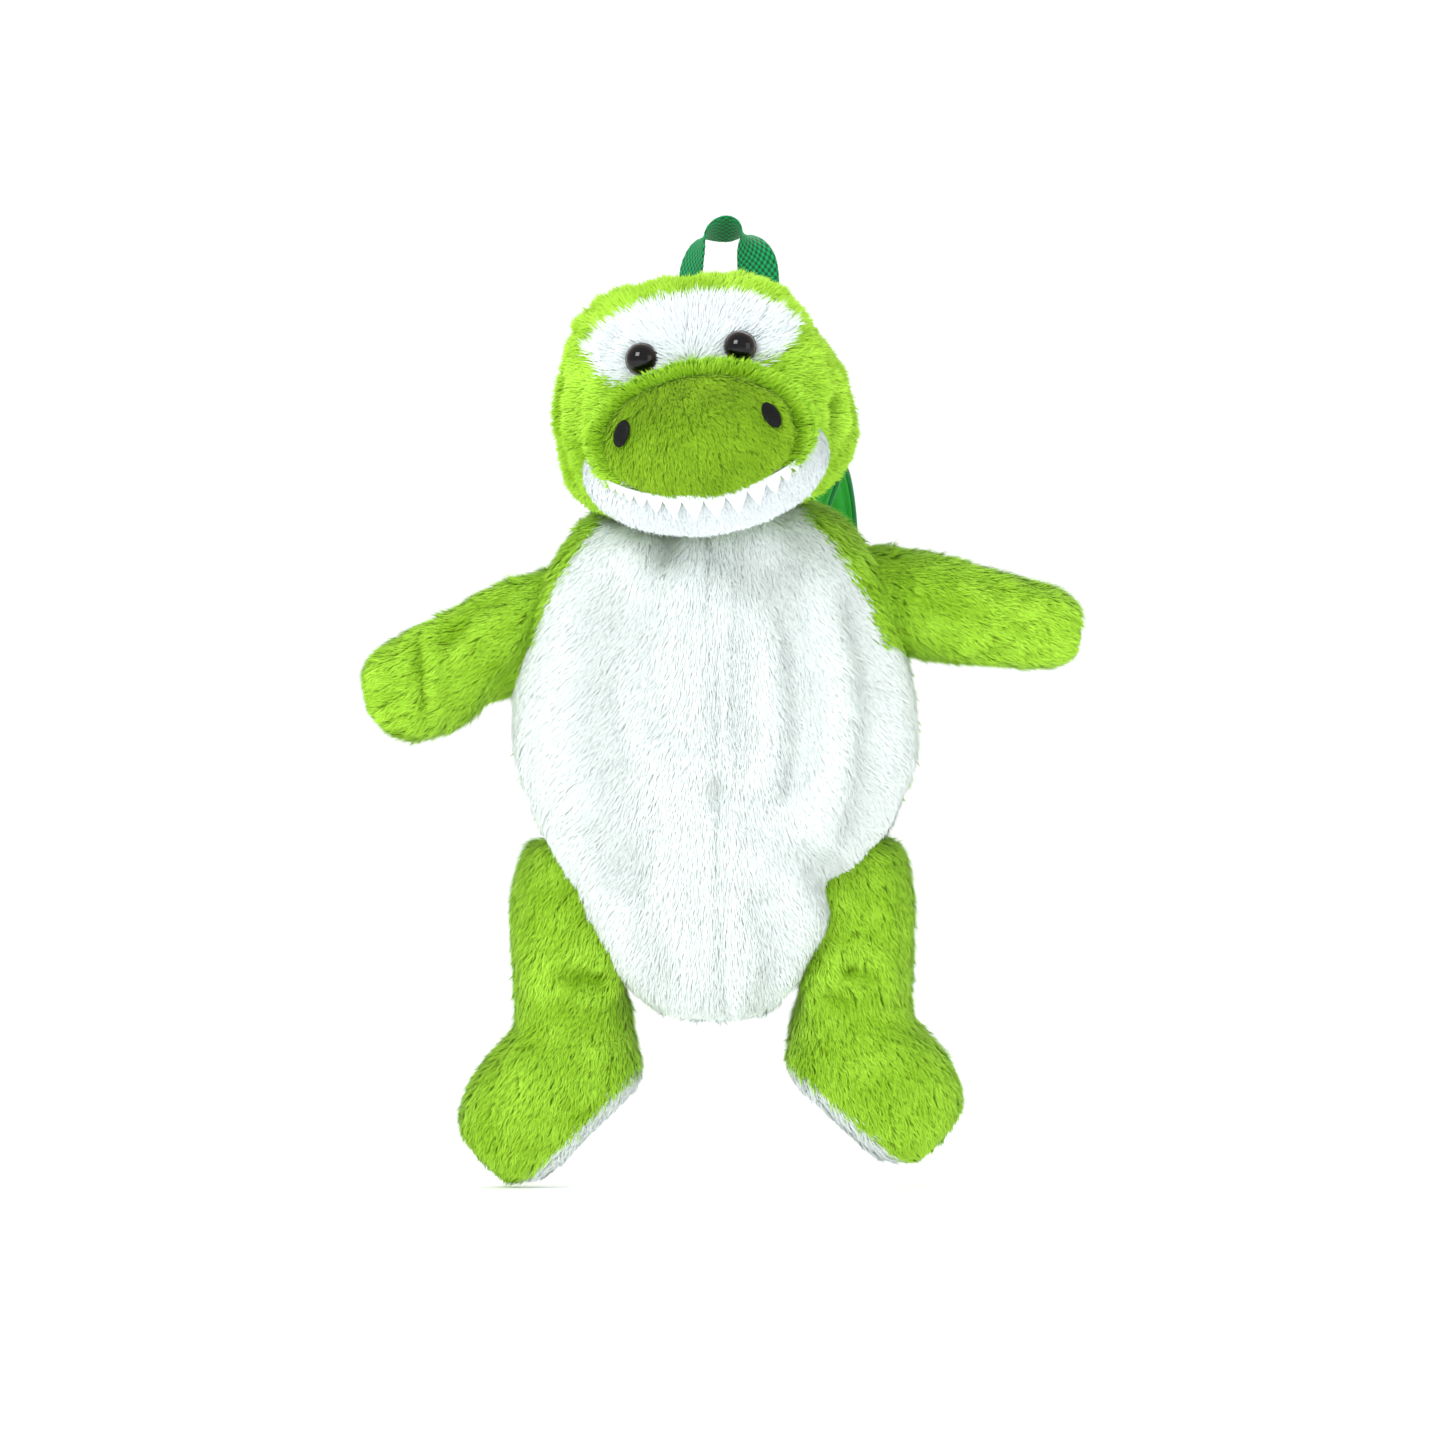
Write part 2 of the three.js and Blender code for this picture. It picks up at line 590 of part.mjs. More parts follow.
function makeLeg(name, side) {
  const leg = legs[name];
  const group = new THREE.Group();
  group.position.set(...leg.hip);
  object.add(group);
  const thigh = {
    low: -122,
    high: 14,
    round: 3.2,
    sides: 12,
    rows: 8,
    stations: [
      { at: -122, x: leg.lean * -side, side: 36, front: 31, back: 31 },
      { at: -74, x: 12 * -side, side: 34, front: 30, back: 30 },
      { at: -30, x: 6 * -side, side: 30, front: 29, back: 29 },
      { at: 14, x: 0, side: 24, front: 27, back: 27 },
    ],
  };
  const foot = {
    low: -leg.length / 2,
    high: leg.length / 2,
    round: 2.8,
    sides: 14,
    rows: 8,
    stations: [
      { at: -leg.length / 2, side: 37, front: 31, back: 31 },
      { at: 0, side: 39, front: 34, back: 34 },
      { at: leg.length / 2, side: 36, front: 32, back: 32 },
    ],
  };
  const ankle = new THREE.Group();
  ankle.position.set(...leg.foot);
  ankle.rotation.set(0, side * (90 + leg.toeOut) * degrees, 0);
  group.add(ankle);
  group.updateWorldMatrix(true, true);
  const placeFoot = (solid) => solid.transform(ankle.matrix.elements);
  const footForm = (inset) => placeFoot(stacked(foot, inset));
  const whole = (inset) => stacked(thigh, inset).add(footForm(inset));
  const below = (level) => placeFoot(box(
    side > 0 ? [level, -far, -far] : [-far, -far, -far],
    side > 0 ? [far, far, far] : [-level, far, far],
  ));
  const soleLevel = 27;
  const sole = whole(0).intersect(below(soleLevel)).subtract(below(soleLevel + plush));
  const room = (extra) => limbRoom(group, 0, legSwing, extra);
  const outer = whole(0).subtract(below(soleLevel - gap)).subtract(room(0));
  const inner = whole(plush).subtract(room(-1.5));
  piece(group, `leg_cover_${name}`, outer.subtract(inner), 'lime');
  const filling = whole(plush + gap).subtract(below(soleLevel - gap)).subtract(room(gap));
  piece(group, `leg_stuffing_${name}`, filling, 'stuffing');
  piece(group, `sole_${name}`, sole, 'white');
}

makeHead();
makeMuzzle();
makeJaw();
makeGrabLoop();
makeBag();
makeZip();
for (const [name, side] of [['left', 1], ['right', -1]]) {
  makeStrap(name, side);
  makeStrapSlider(name, side);
  makeArm(name, side);
  makeLeg(name, side);
}

export default object;
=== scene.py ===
import math

import bmesh
import bpy
import numpy as np
from mathutils import Matrix, Vector


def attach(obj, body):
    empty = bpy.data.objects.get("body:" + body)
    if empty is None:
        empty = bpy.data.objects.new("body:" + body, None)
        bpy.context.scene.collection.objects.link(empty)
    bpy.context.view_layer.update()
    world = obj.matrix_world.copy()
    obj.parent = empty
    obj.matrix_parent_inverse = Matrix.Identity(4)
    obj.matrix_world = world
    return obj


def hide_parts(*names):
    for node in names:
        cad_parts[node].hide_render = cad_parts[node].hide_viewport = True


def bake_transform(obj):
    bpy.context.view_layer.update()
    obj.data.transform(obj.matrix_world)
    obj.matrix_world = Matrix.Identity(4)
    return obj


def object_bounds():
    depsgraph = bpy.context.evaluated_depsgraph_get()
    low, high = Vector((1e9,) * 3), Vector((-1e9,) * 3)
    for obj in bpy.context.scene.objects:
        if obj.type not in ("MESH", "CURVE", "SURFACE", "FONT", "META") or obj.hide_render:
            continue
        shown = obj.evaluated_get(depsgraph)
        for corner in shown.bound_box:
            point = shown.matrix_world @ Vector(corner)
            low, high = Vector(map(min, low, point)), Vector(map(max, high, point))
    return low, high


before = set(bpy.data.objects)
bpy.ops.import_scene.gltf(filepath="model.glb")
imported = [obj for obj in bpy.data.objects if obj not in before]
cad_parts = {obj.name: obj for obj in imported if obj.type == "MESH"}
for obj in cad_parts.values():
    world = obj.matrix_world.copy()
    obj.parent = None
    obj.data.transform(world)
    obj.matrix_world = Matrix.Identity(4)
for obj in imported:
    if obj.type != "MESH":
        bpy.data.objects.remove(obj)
cadLow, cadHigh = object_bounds()
scene = bpy.context.scene
mm = 0.001


def linear(hexCode):
    values = [int(hexCode[i:i + 2], 16) / 255 for i in (0, 2, 4)]
    return (*[v / 12.92 if v <= 0.04045 else ((v + 0.055) / 1.055) ** 2.4 for v in values], 1)


# adds a node, with its settings, and its inputs as plain values or links
def addNode(tree, kind, settings=None, inputs=None):
    node = tree.nodes.new(kind)
    for name, value in (settings or {}).items():
        setattr(node, name, value)
    for key, value in (inputs or {}).items():
        if isinstance(value, bpy.types.NodeSocket):
            tree.links.new(value, node.inputs[key])
        else:
            node.inputs[key].default_value = value
    return node


def newMaterial(name):
    made = bpy.data.materials.new(name)
    made.use_nodes = True
    made.node_tree.nodes.clear()
    output = addNode(made.node_tree, "ShaderNodeOutputMaterial")
    return made, made.node_tree, output


# camera, floor and light

cameraSetup = {"frameWidth": 0.744, "middleX": -0.0064, "middleZ": -0.2614, "objectY": -0.03, "distance": 6.0}
camera = bpy.data.objects.new("camera", bpy.data.cameras.new("camera"))
scene.collection.objects.link(camera)
scene.camera = camera
camera.data.sensor_width = 36
camera.data.lens = 36 * cameraSetup["distance"] / cameraSetup["frameWidth"]
camera.location = (cameraSetup["middleX"], cameraSetup["objectY"] - cameraSetup["distance"], cameraSetup["middleZ"])
camera.rotation_euler = (math.pi / 2, 0, 0)
camera.data.clip_end = 50
scene.view_settings.view_transform = "Standard"

studio = {"floorHalf": 12.0, "wallDistance": 9.0, "curve": 2.0, "wallHeight": 8.0, "glow": 0.2}


def makeStudio():
    profile = [(-studio["floorHalf"], 0.0), (studio["wallDistance"] - studio["curve"], 0.0)]
    for step in range(1, 13):
        turn = math.pi / 2 * step / 12
        profile.append((studio["wallDistance"] - studio["curve"] * (1 - math.sin(turn)),
                        studio["curve"] * (1 - math.cos(turn))))
    profile.append((studio["wallDistance"], studio["wallHeight"]))
    floorZ = cadLow.z - 0.001
    points, faces = [], []
    for y, z in profile:
        points += [(-studio["floorHalf"], y, floorZ + z), (studio["floorHalf"], y, floorZ + z)]
    for i in range(len(profile) - 1):
        faces.append((2 * i, 2 * i + 1, 2 * i + 3, 2 * i + 2))
    mesh = bpy.data.meshes.new("floor")
    mesh.from_pydata(points, [], faces)
    floor = bpy.data.objects.new("floor", mesh)
    scene.collection.objects.link(floor)
    floor.data.shade_smooth()
    # a backlit acrylic sheet, pale and even
    board, tree, output = newMaterial("backlitAcrylic")
    coords = addNode(tree, "ShaderNodeTexCoord")
    grain = addNode(tree, "ShaderNodeTexNoise", None, {"Vector": coords.outputs["Object"], "Scale": 2.0})
    tone = addNode(tree, "ShaderNodeMix", {"data_type": "RGBA"},
                   {0: grain.outputs[0],
                    6: linear("f8f9f9"), 7: linear("fdfdfd")})
    surface = addNode(tree, "ShaderNodeBsdfPrincipled", None,
                      {"Base Color": tone.outputs[2], "Roughness": 0.8, "Specular IOR Level": 0.1,
                       "Emission Color": linear("ffffff"), "Emission Strength": studio["glow"]})
    tree.links.new(surface.outputs[0], output.inputs[0])
    floor.data.materials.append(board)


def areaLight(name, at, target, size, power):
    lamp = bpy.data.lights.new(name, "AREA")
    lamp.shape = "SQUARE"
    lamp.size = size
    lamp.energy = power
    made = bpy.data.objects.new(name, lamp)
    made.location = at
    made.rotation_euler = (Vector(target) - Vector(at)).to_track_quat("-Z", "Y").to_euler()
    scene.collection.objects.link(made)


makeStudio()
areaLight("keyLight", (-1.1, -1.9, 1.1), (0, 0, -0.25), 0.9, 34)
areaLight("fillLight", (1.9, -1.7, 0.2), (0, 0, -0.25), 1.4, 10)
areaLight("backLight", (0.6, 1.5, 1.5), (0, 0, -0.2), 1.2, 16)
world = bpy.data.worlds.new("softRoom")
world.use_nodes = True
world.node_tree.nodes["Background"].inputs["Color"].default_value = linear("ffffff")
world.node_tree.nodes["Background"].inputs["Strength"].default_value = 0.8
scene.world = world
print("camera, floor and light are ready")


# mesh helpers

def added(name, mesh):
    made = bpy.data.objects.new(name, mesh)
    scene.collection.objects.link(made)
    return made


# turns an object with its modifiers into a plain mesh
def settled(piece):
    bpy.context.view_layer.update()
    graph = bpy.context.evaluated_depsgraph_get()
    mesh = bpy.data.meshes.new_from_object(piece.evaluated_get(graph), preserve_all_data_layers=True, depsgraph=graph)
    old = piece.data
    piece.modifiers.clear()
    piece.data = mesh
    bpy.data.meshes.remove(old)
    return piece


def vectorsOf(mesh, name):
    values = np.empty(len(mesh.vertices) * 3, np.float32)
    mesh.vertices.foreach_get(name, values)
    return values.reshape(-1, 3).astype(float)


def setPoints(mesh, points):
    mesh.vertices.foreach_set("co", np.asarray(points, np.float32).ravel())
    mesh.update()


def setField(mesh, name, kind, values):
    field = mesh.attributes.get(name) or mesh.attributes.new(name, kind, "POINT")
    key = "vector" if kind == "FLOAT_VECTOR" else "value"
    field.data.foreach_set(key, np.asarray(values, np.float32).ravel())


def smoothStep(value, start, end):
    t = np.clip((value - start) / (end - start), 0, 1)
    return t * t * (3 - 2 * t)


def unit(vectors):
    return vectors / np.maximum(np.linalg.norm(vectors, axis=-1, keepdims=True), 1e-9)


# a rounded block: a ball whose points are drawn out towards its corners
def roundedBlock(place, centre, radii, power=0.65):
    work = bmesh.new()
    bmesh.ops.create_uvsphere(work, u_segments=40, v_segments=24, radius=1)
    for point in work.verts:
        drawn = [math.copysign(abs(v) ** power, v) for v in point.co]
        point.co = place @ Vector([c + r * v for c, r, v in zip(centre, radii, drawn)])
    mesh = bpy.data.meshes.new("block")
    work.to_mesh(mesh)
    work.free()
    return mesh


# the copies of CAD nodes and extra forms, melted into one closed skin and smoothed
def meltedSkin(name, nodes, voxel, rounds, extra=()):
    work = bmesh.new()
    for mesh in [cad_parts[node].data for node in nodes] + list(extra):
        work.from_mesh(mesh)
    bmesh.ops.remove_doubles(work, verts=work.verts, dist=1e-6)
    mesh = bpy.data.meshes.new(name)
    work.to_mesh(mesh)
    work.free()
    skin = added(name, mesh)
    melt = skin.modifiers.new("melt", "REMESH")
    melt.mode = "VOXEL"
    melt.voxel_size = voxel
    ease = skin.modifiers.new("ease", "SMOOTH")
    ease.iterations = rounds
    ease.factor = 0.5
    settled(skin)
    work = bmesh.new()
    work.from_mesh(skin.data)
    islands = sorted(islandsOf(work), key=len)
    for island in islands[:-1]:
        bmesh.ops.delete(work, geom=island, context="VERTS")
    work.to_mesh(skin.data)
    work.free()
    return skin


def islandsOf(work):
    seen, islands = set(), []
    for start in work.verts:
        if start in seen:
            continue
        island, edge = [], [start]
        seen.add(start)
        while edge:
            point = edge.pop()
            island.append(point)
            for link in point.link_edges:
                other = link.other_vert(point)
                if other not in seen:
                    seen.add(other)
                    edge.append(other)
        islands.append(island)
    return islands


# lets the cloth of a skin settle under a little air pressure, moving at most the given distance
def relaxed(skin, most):
    before = vectorsOf(skin.data, "co")
    cloth = skin.modifiers.new("cloth", "CLOTH")
    cloth.settings.quality = 4
    cloth.settings.mass = 0.2
    cloth.settings.tension_stiffness = 18
    cloth.settings.compression_stiffness = 4
    cloth.settings.bending_stiffness = 0.05
    cloth.settings.use_pressure = True
    cloth.settings.uniform_pressure_force = 4
    cloth.settings.shrink_min = -0.06
    cloth.settings.effector_weights.gravity = 0
    cloth.collision_settings.use_collision = False
    cloth.point_cache.frame_start = 1
    cloth.point_cache.frame_end = 20
    for step in range(1, 21):
        scene.frame_set(step)
    bpy.context.view_layer.update()
    graph = bpy.context.evaluated_depsgraph_get()
    mesh = bpy.data.meshes.new_from_object(skin.evaluated_get(graph), depsgraph=graph)
    after = vectorsOf(mesh, "co")
    bpy.data.meshes.remove(mesh)
    skin.modifiers.clear()
    scene.frame_set(1)
    move = after - before
    length = np.linalg.norm(move, axis=1)
    print(skin.name, "cloth moved", length.mean() / mm, length.max() / mm, "mm")
    move *= (most / np.maximum(length, most))[:, None]
    setPoints(skin.data, before + move)


# how far each point is from a line through the given points
def distanceTo(points, line, steps=24):
    line = np.asarray(line, float)
    best = np.full(len(points), 1e9)
    for start, end in zip(line[:-1], line[1:]):
        along = end - start
        t = np.clip((points - start) @ along / max(along @ along, 1e-12), 0, 1)
        best = np.minimum(best, np.linalg.norm(points - start - t[:, None] * along, axis=1))
    return best


# a sewn or folded crease: sunk along the line and raised beside it
def creased(distance, width, depth, lip=0.45):
    return -depth * np.exp(-(distance / width) ** 2) + lip * depth * np.exp(-((distance - 1.9 * width) / width) ** 2)


# a smooth field of soft lumps, the same each run
def lumps(points, size, seed):
    chance = np.random.default_rng(seed)
    total = np.zeros(len(points))
    for _ in range(7):
        direction = unit(chance.normal(size=3))
        total += np.sin(points @ direction * (2 * math.pi / (size * chance.uniform(0.7, 1.5))) + chance.uniform(0, 6.3))
    return total / 7


def onSurface(flow, normals):
    return unit(flow - (flow * normals).sum(1)[:, None] * normals)


# Pile: thousands of short curved fibres grown from a skin.
# The skin carries comb (which way it lies), cover (0 bare to 1 full), longer and tone (painted shade in creases and
# painted light on raised folds).

def makePileTree():
    tree = bpy.data.node_groups.new("pileOnCloth", "GeometryNodeTree")
    face = tree.interface
    face.new_socket("Geometry", in_out="INPUT", socket_type="NodeSocketGeometry")
    for name, kind in (("Density", "NodeSocketFloat"), ("Length", "NodeSocketFloat"), ("Width", "NodeSocketFloat"),
                       ("Lean", "NodeSocketFloat"), ("Tufts", "NodeSocketFloat"), ("Gather", "NodeSocketFloat"),
                       ("Ruffle", "NodeSocketFloat"), ("Stray", "NodeSocketFloat"), ("Seed", "NodeSocketInt"),
                       ("Finish", "NodeSocketMaterial")):
        face.new_socket(name, in_out="INPUT", socket_type=kind)
    face.new_socket("Geometry", in_out="OUTPUT", socket_type="NodeSocketGeometry")
    enter = addNode(tree, "NodeGroupInput").outputs
    leave = addNode(tree, "NodeGroupOutput")

    def maths(operation, *values):
        return addNode(tree, "ShaderNodeMath", {"operation": operation}, dict(enumerate(values))).outputs[0]

    def vectors(operation, *values):
        return addNode(tree, "ShaderNodeVectorMath", {"operation": operation}, dict(enumerate(values))).outputs[0]

    def scaled(vector, by):
        return addNode(tree, "ShaderNodeVectorMath", {"operation": "SCALE"}, {0: vector, 3: by}).outputs[0]

    def field(name, kind):
        return addNode(tree, "GeometryNodeInputNamedAttribute", {"data_type": kind}, {0: name}).outputs[0]

    def stored(geometry, name, value, kind="FLOAT", domain="POINT"):
        node = addNode(tree, "GeometryNodeStoreNamedAttribute", {"data_type": kind, "domain": domain},
                       {"Geometry": geometry, "Name": name})
        tree.links.new(value, [s for s in node.inputs if s.name == "Value" and s.enabled][0])
        return node.outputs[0]

    cover = field("cover", "FLOAT")
    roots = addNode(tree, "GeometryNodeDistributePointsOnFaces", {"distribute_method": "RANDOM"},
                    {"Mesh": enter["Geometry"], "Density": maths("MULTIPLY", enter["Density"], cover),
                     "Seed": enter["Seed"]})
    tufts = addNode(tree, "GeometryNodeDistributePointsOnFaces", {"distribute_method": "RANDOM"},
                    {"Mesh": enter["Geometry"], "Density": enter["Tufts"], "Seed": 11})
    place = addNode(tree, "GeometryNodeInputPosition").outputs[0]
    nearest = addNode(tree, "GeometryNodeProximity", {"target_element": "POINTS"},
                      {0: tufts.outputs["Points"]}).outputs["Position"]
    normal = roots.outputs["Normal"]
    upright = scaled(normal, maths("SUBTRACT", 1.0, enter["Lean"]))
    combed = scaled(field("comb", "FLOAT_VECTOR"), enter["Lean"])
    toTuft = scaled(vectors("SUBTRACT", nearest, place), maths("DIVIDE", enter["Gather"], enter["Length"]))
    tuftNoise = addNode(tree, "ShaderNodeTexNoise", None, {"Vector": nearest, "Scale": 90.0, "Detail": 1.0})
    tuftTurn = scaled(vectors("SUBTRACT", tuftNoise.outputs["Color"], (0.5, 0.5, 0.5)), enter["Ruffle"])
    random = addNode(tree, "FunctionNodeRandomValue", {"data_type": "FLOAT_VECTOR"},
                     {0: (-1, -1, -1), 1: (1, 1, 1), "Seed": 3}).outputs[0]
    strayTurn = scaled(random, enter["Stray"])
    lies = vectors("ADD", vectors("ADD", upright, combed), vectors("ADD", toTuft, vectors("ADD", tuftTurn, strayTurn)))
    turn = addNode(tree, "FunctionNodeAxesToRotation", {"primary_axis": "Z", "secondary_axis": "Y"}, {0: lies, 1: normal})
    height = addNode(tree, "FunctionNodeRandomValue", {"data_type": "FLOAT"},
                     {2: 0.75, 3: 1.2, "Seed": 5}).outputs[1]
    longer = maths("MULTIPLY", maths("MULTIPLY", height, enter["Length"]), field("longer", "FLOAT"))
    size = addNode(tree, "ShaderNodeCombineXYZ", None, {0: enter["Width"], 1: longer, 2: longer}).outputs[0]

    # one fibre: broad at the root, bent over and closing to a point
    sheet = addNode(tree, "GeometryNodeMeshGrid", None, {0: 1.0, 1: 1.0, 2: 2, 3: 3})
    flat = addNode(tree, "ShaderNodeSeparateXYZ", None, {0: addNode(tree, "GeometryNodeInputPosition").outputs[0]}).outputs
    along = maths("ADD", flat[1], 0.5)
    squared = maths("MULTIPLY", along, along)
    fibreShape = addNode(tree, "ShaderNodeCombineXYZ", None, {
        0: maths("MULTIPLY", flat[0], maths("SUBTRACT", 1.0, squared)),
        1: maths("MULTIPLY", squared, -0.3),
        2: along}).outputs[0]
    marked = stored(sheet.outputs[0], "along", along)
    fibre = addNode(tree, "GeometryNodeSetPosition", None, {"Geometry": marked, "Position": fibreShape}).outputs[0]
    fibre = addNode(tree, "GeometryNodeMergeByDistance", None, {"Geometry": fibre, "Distance": 0.001}).outputs[0]

    # the fibre's shade value: random broad patches, per-fibre and per-tuft tone, plus the skin's tone, which is painted
    # shade in creases and painted light on raised folds
    broad = addNode(tree, "ShaderNodeTexNoise", None, {"Vector": place, "Scale": 28.0, "Detail": 2.0}).outputs[0]
    single = addNode(tree, "FunctionNodeRandomValue", {"data_type": "FLOAT"}, {2: -0.16, 3: 0.16, "Seed": 9}).outputs[1]
    tuftTone = maths("MULTIPLY", maths("SUBTRACT", tuftNoise.outputs[0], 0.5), 0.8)
    shade = maths("ADD", maths("ADD", maths("MULTIPLY", maths("SUBTRACT", broad, 0.5), 1.1), single),
                  maths("ADD", tuftTone, maths("ADD", 0.5, field("tone", "FLOAT"))))
    shade = addNode(tree, "ShaderNodeClamp", None, {0: shade, 1: 0.02, 2: 0.98}).outputs[0]
    points = stored(roots.outputs["Points"], "shade", shade)
    lift = addNode(tree, "ShaderNodeVectorMath", {"operation": "NORMALIZE"},
                   {0: vectors("ADD", normal, vectors("ADD", scaled(tuftTurn, 0.5), scaled(toTuft, 0.6)))}).outputs[0]
    points = stored(points, "skinNormal", lift, "FLOAT_VECTOR")
    grown = addNode(tree, "GeometryNodeInstanceOnPoints", None,
                    {"Points": points, "Instance": fibre, "Rotation": turn.outputs[0], "Scale": size}).outputs[0]
    real = addNode(tree, "GeometryNodeRealizeInstances", None, {0: grown}).outputs[0]
    mapping = addNode(tree, "ShaderNodeCombineXYZ", None,
                      {0: field("shade", "FLOAT"), 1: field("along", "FLOAT")}).outputs[0]
    mapped = stored(real, "OFBake", mapping, "FLOAT2", "CORNER")
    soft = addNode(tree, "GeometryNodeSetMeshNormal", {"mode": "FREE", "domain": "POINT"}, {"Mesh": mapped})
    tree.links.new(field("skinNormal", "FLOAT_VECTOR"), soft.inputs["Custom Normal"])
    finished = addNode(tree, "GeometryNodeSetMaterial", None,
                       {"Geometry": soft.outputs[0], "Material": enter["Finish"]}).outputs[0]
    tree.links.new(finished, leave.inputs[0])
    return tree


pileTree = makePileTree()


def growPile(name, skin, cloth, finish, seed):
    pile = added(name, skin.data.copy())
    grow = pile.modifiers.new("pile", "NODES")
    grow.node_group = pileTree
    sockets = {s.name: s.identifier for s in pileTree.interface.items_tree if s.in_out == "INPUT"}
    for key in ("Density", "Length", "Width", "Lean", "Tufts", "Gather", "Ruffle", "Stray"):
        grow[sockets[key]] = float(cloth[key])
    grow[sockets["Seed"]] = seed
    grow[sockets["Finish"]] = finish
    settled(pile)
    for key in ("along", "shade", "skinNormal", "comb", "cover", "longer", "tone"):
        spare = pile.data.attributes.get(key)
        if spare:
            pile.data.attributes.remove(spare)
    print(name, len(pile.data.polygons), "faces")
    return pile


# knitted polyester pile: matt and soft, with painted shade at the fibre roots fading out towards the tips
def pileFinish(name, root, deep, pale, sheenTint):
    made, tree, output = newMaterial(name)
    mapping = addNode(tree, "ShaderNodeUVMap", {"uv_map": "OFBake"})
    parts = addNode(tree, "ShaderNodeSeparateXYZ", None, {0: mapping.outputs[0]}).outputs
    tip = addNode(tree, "ShaderNodeMix", {"data_type": "RGBA"}, {0: parts[0], 6: linear(deep), 7: linear(pale)}).outputs[2]
    # painted shade: the darker root colour covers the lower part of each fibre and fades into the tip colour by 0.6 of
    # its length
    rise = addNode(tree, "ShaderNodeMapRange", None, {0: parts[1], 1: 0.0, 2: 0.6, 3: 0.0, 4: 1.0}).outputs[0]
    colour = addNode(tree, "ShaderNodeMix", {"data_type": "RGBA"}, {0: rise, 6: linear(root), 7: tip}).outputs[2]
    surface = addNode(tree, "ShaderNodeBsdfPrincipled", None, {
        "Base Color": colour, "Roughness": 0.85, "Specular IOR Level": 0.25,
        "Sheen Weight": 0.35, "Sheen Roughness": 0.45, "Sheen Tint": linear(sheenTint)})
    tree.links.new(surface.outputs[0], output.inputs[0])
    return made


# the knitted backing under the pile, seen only where the pile parts
def backingFinish(name, deep, pale):
    made, tree, output = newMaterial(name)
    coords = addNode(tree, "ShaderNodeTexCoord")
    knit = addNode(tree, "ShaderNodeTexNoise", None, {"Vector": coords.outputs["Object"], "Scale": 700.0, "Detail": 2.0})
    colour = addNode(tree, "ShaderNodeMix", {"data_type": "RGBA"},
                     {0: knit.outputs[0], 6: linear(deep), 7: linear(pale)}).outputs[2]
    bump = addNode(tree, "ShaderNodeBump", None, {"Strength": 0.4, "Distance": 0.0006, "Height": knit.outputs[0]})
    surface = addNode(tree, "ShaderNodeBsdfPrincipled", None,
                      {"Base Color": colour, "Roughness": 0.95, "Normal": bump.outputs[0], "Specular IOR Level": 0.1})
    tree.links.new(surface.outputs[0], output.inputs[0])
    return made


# the first colour of each pile is painted shade at the fibre roots; deep and pale span the shade value
limePile = pileFinish("limePlushPile", "6a980e", "86bb14", "bbee48", "dcff8a")
padPile = pileFinish("limeShortPile", "557f0a", "719f12", "97c626", "c0ea68")
whitePile = pileFinish("whitePlushPile", "d3dedb", "e3ebe9", "f3fbf9", "ffffff")
# the fleece is a slightly lighter, cooler copy of the white plush: its lighter colour is partly the brow patch's whiter
# fleece and partly painted light lifting the shaded jaw underside
fleecePile = pileFinish("whiteFleecePile", "d9e3e6", "e6eef0", "f5fbfc", "ffffff")
limeBacking = backingFinish("limeKnitBacking", "6a9c10", "7dae1c")
whiteBacking = backingFinish("whiteKnitBacking", "e2e8e5", "eef2f0")

plushCloth = {"Density": 1.7e6, "Length": 6.6 * mm, "Width": 0.8 * mm, "Lean": 0.6, "Tufts": 0.07e6,
              "Gather": 0.35, "Ruffle": 0.6, "Stray": 0.18}
padCloth = dict(plushCloth, Density=2.6e6, Length=4.2 * mm, Width=0.65 * mm, Tufts=0.12e6, Ruffle=0.5)
browCloth = dict(plushCloth, Density=3.2e6, Length=8 * mm, Width=0.6 * mm, Tufts=0.06e6, Lean=0.55, Gather=0.25, Ruffle=0.4)
bellyCloth = dict(plushCloth, Density=1.6e6, Length=6 * mm, Lean=0.68, Tufts=0.04e6, Gather=0.15, Ruffle=0.3, Stray=0.16)
fleeceCloth = dict(plushCloth, Density=2.6e6, Length=3.2 * mm, Width=0.6 * mm, Tufts=0.12e6, Ruffle=0.4)


# puts the fields that the pile reads on a skin
def dress(skin, comb, cover=None, longer=None, tone=None):
    count = len(skin.data.vertices)
    setField(skin.data, "comb", "FLOAT_VECTOR", comb)
    setField(skin.data, "cover", "FLOAT", np.ones(count) if cover is None else cover)
    setField(skin.data, "longer", "FLOAT", np.ones(count) if longer is None else longer)
    setField(skin.data, "tone", "FLOAT", np.zeros(count) if tone is None else tone)


def ownMaterial(piece, finish):
    piece.data.materials.clear()
    piece.data.materials.append(finish)
    piece.data.shade_smooth()


# Head: forms in the head's own frame, in metres

head = {
    "centre": (-17 * mm, -34 * mm, -95 * mm),
    "roll": math.radians(-7),
    "yaw": math.radians(-3),
    "inset": 3.5 * mm,
    "muzzle": {"centre": (0, -52 * mm, -20.7 * mm), "radii": (58 * mm, 45 * mm, 37 * mm), "inset": 1.2 * mm,
               "seamY": -72 * mm, "grooveWidth": 3.2 * mm, "grooveDepth": 5 * mm},
    "jaw": {"centre": (0, -40 * mm, -34 * mm), "radii": (64 * mm, 40 * mm, 37 * mm), "inset": 1.6 * mm},
    "eyeX": 25.3 * mm, "eyeZ": 22.5 * mm, "eyeY": -53.5 * mm, "eyeRadius": 8 * mm,
    "nostrilX": 38.4 * mm, "nostrilZ": -14.7 * mm, "nostrilLean": math.radians(-24),
}
headPlace = (Matrix.Translation(head["centre"]) @ Matrix.Rotation(head["roll"], 4, "Y")
             @ Matrix.Rotation(head["yaw"], 4, "Z"))


def toLocal(points, place):
    turn = np.array(place.to_3x3().inverted())
    return (points - np.array(place.translation)) @ turn.T


def turnedLocal(vectors, place):
    return vectors @ np.array(place.to_3x3().inverted()).T


def turnedWorld(vectors, place):
    return vectors @ np.array(place.to_3x3()).T


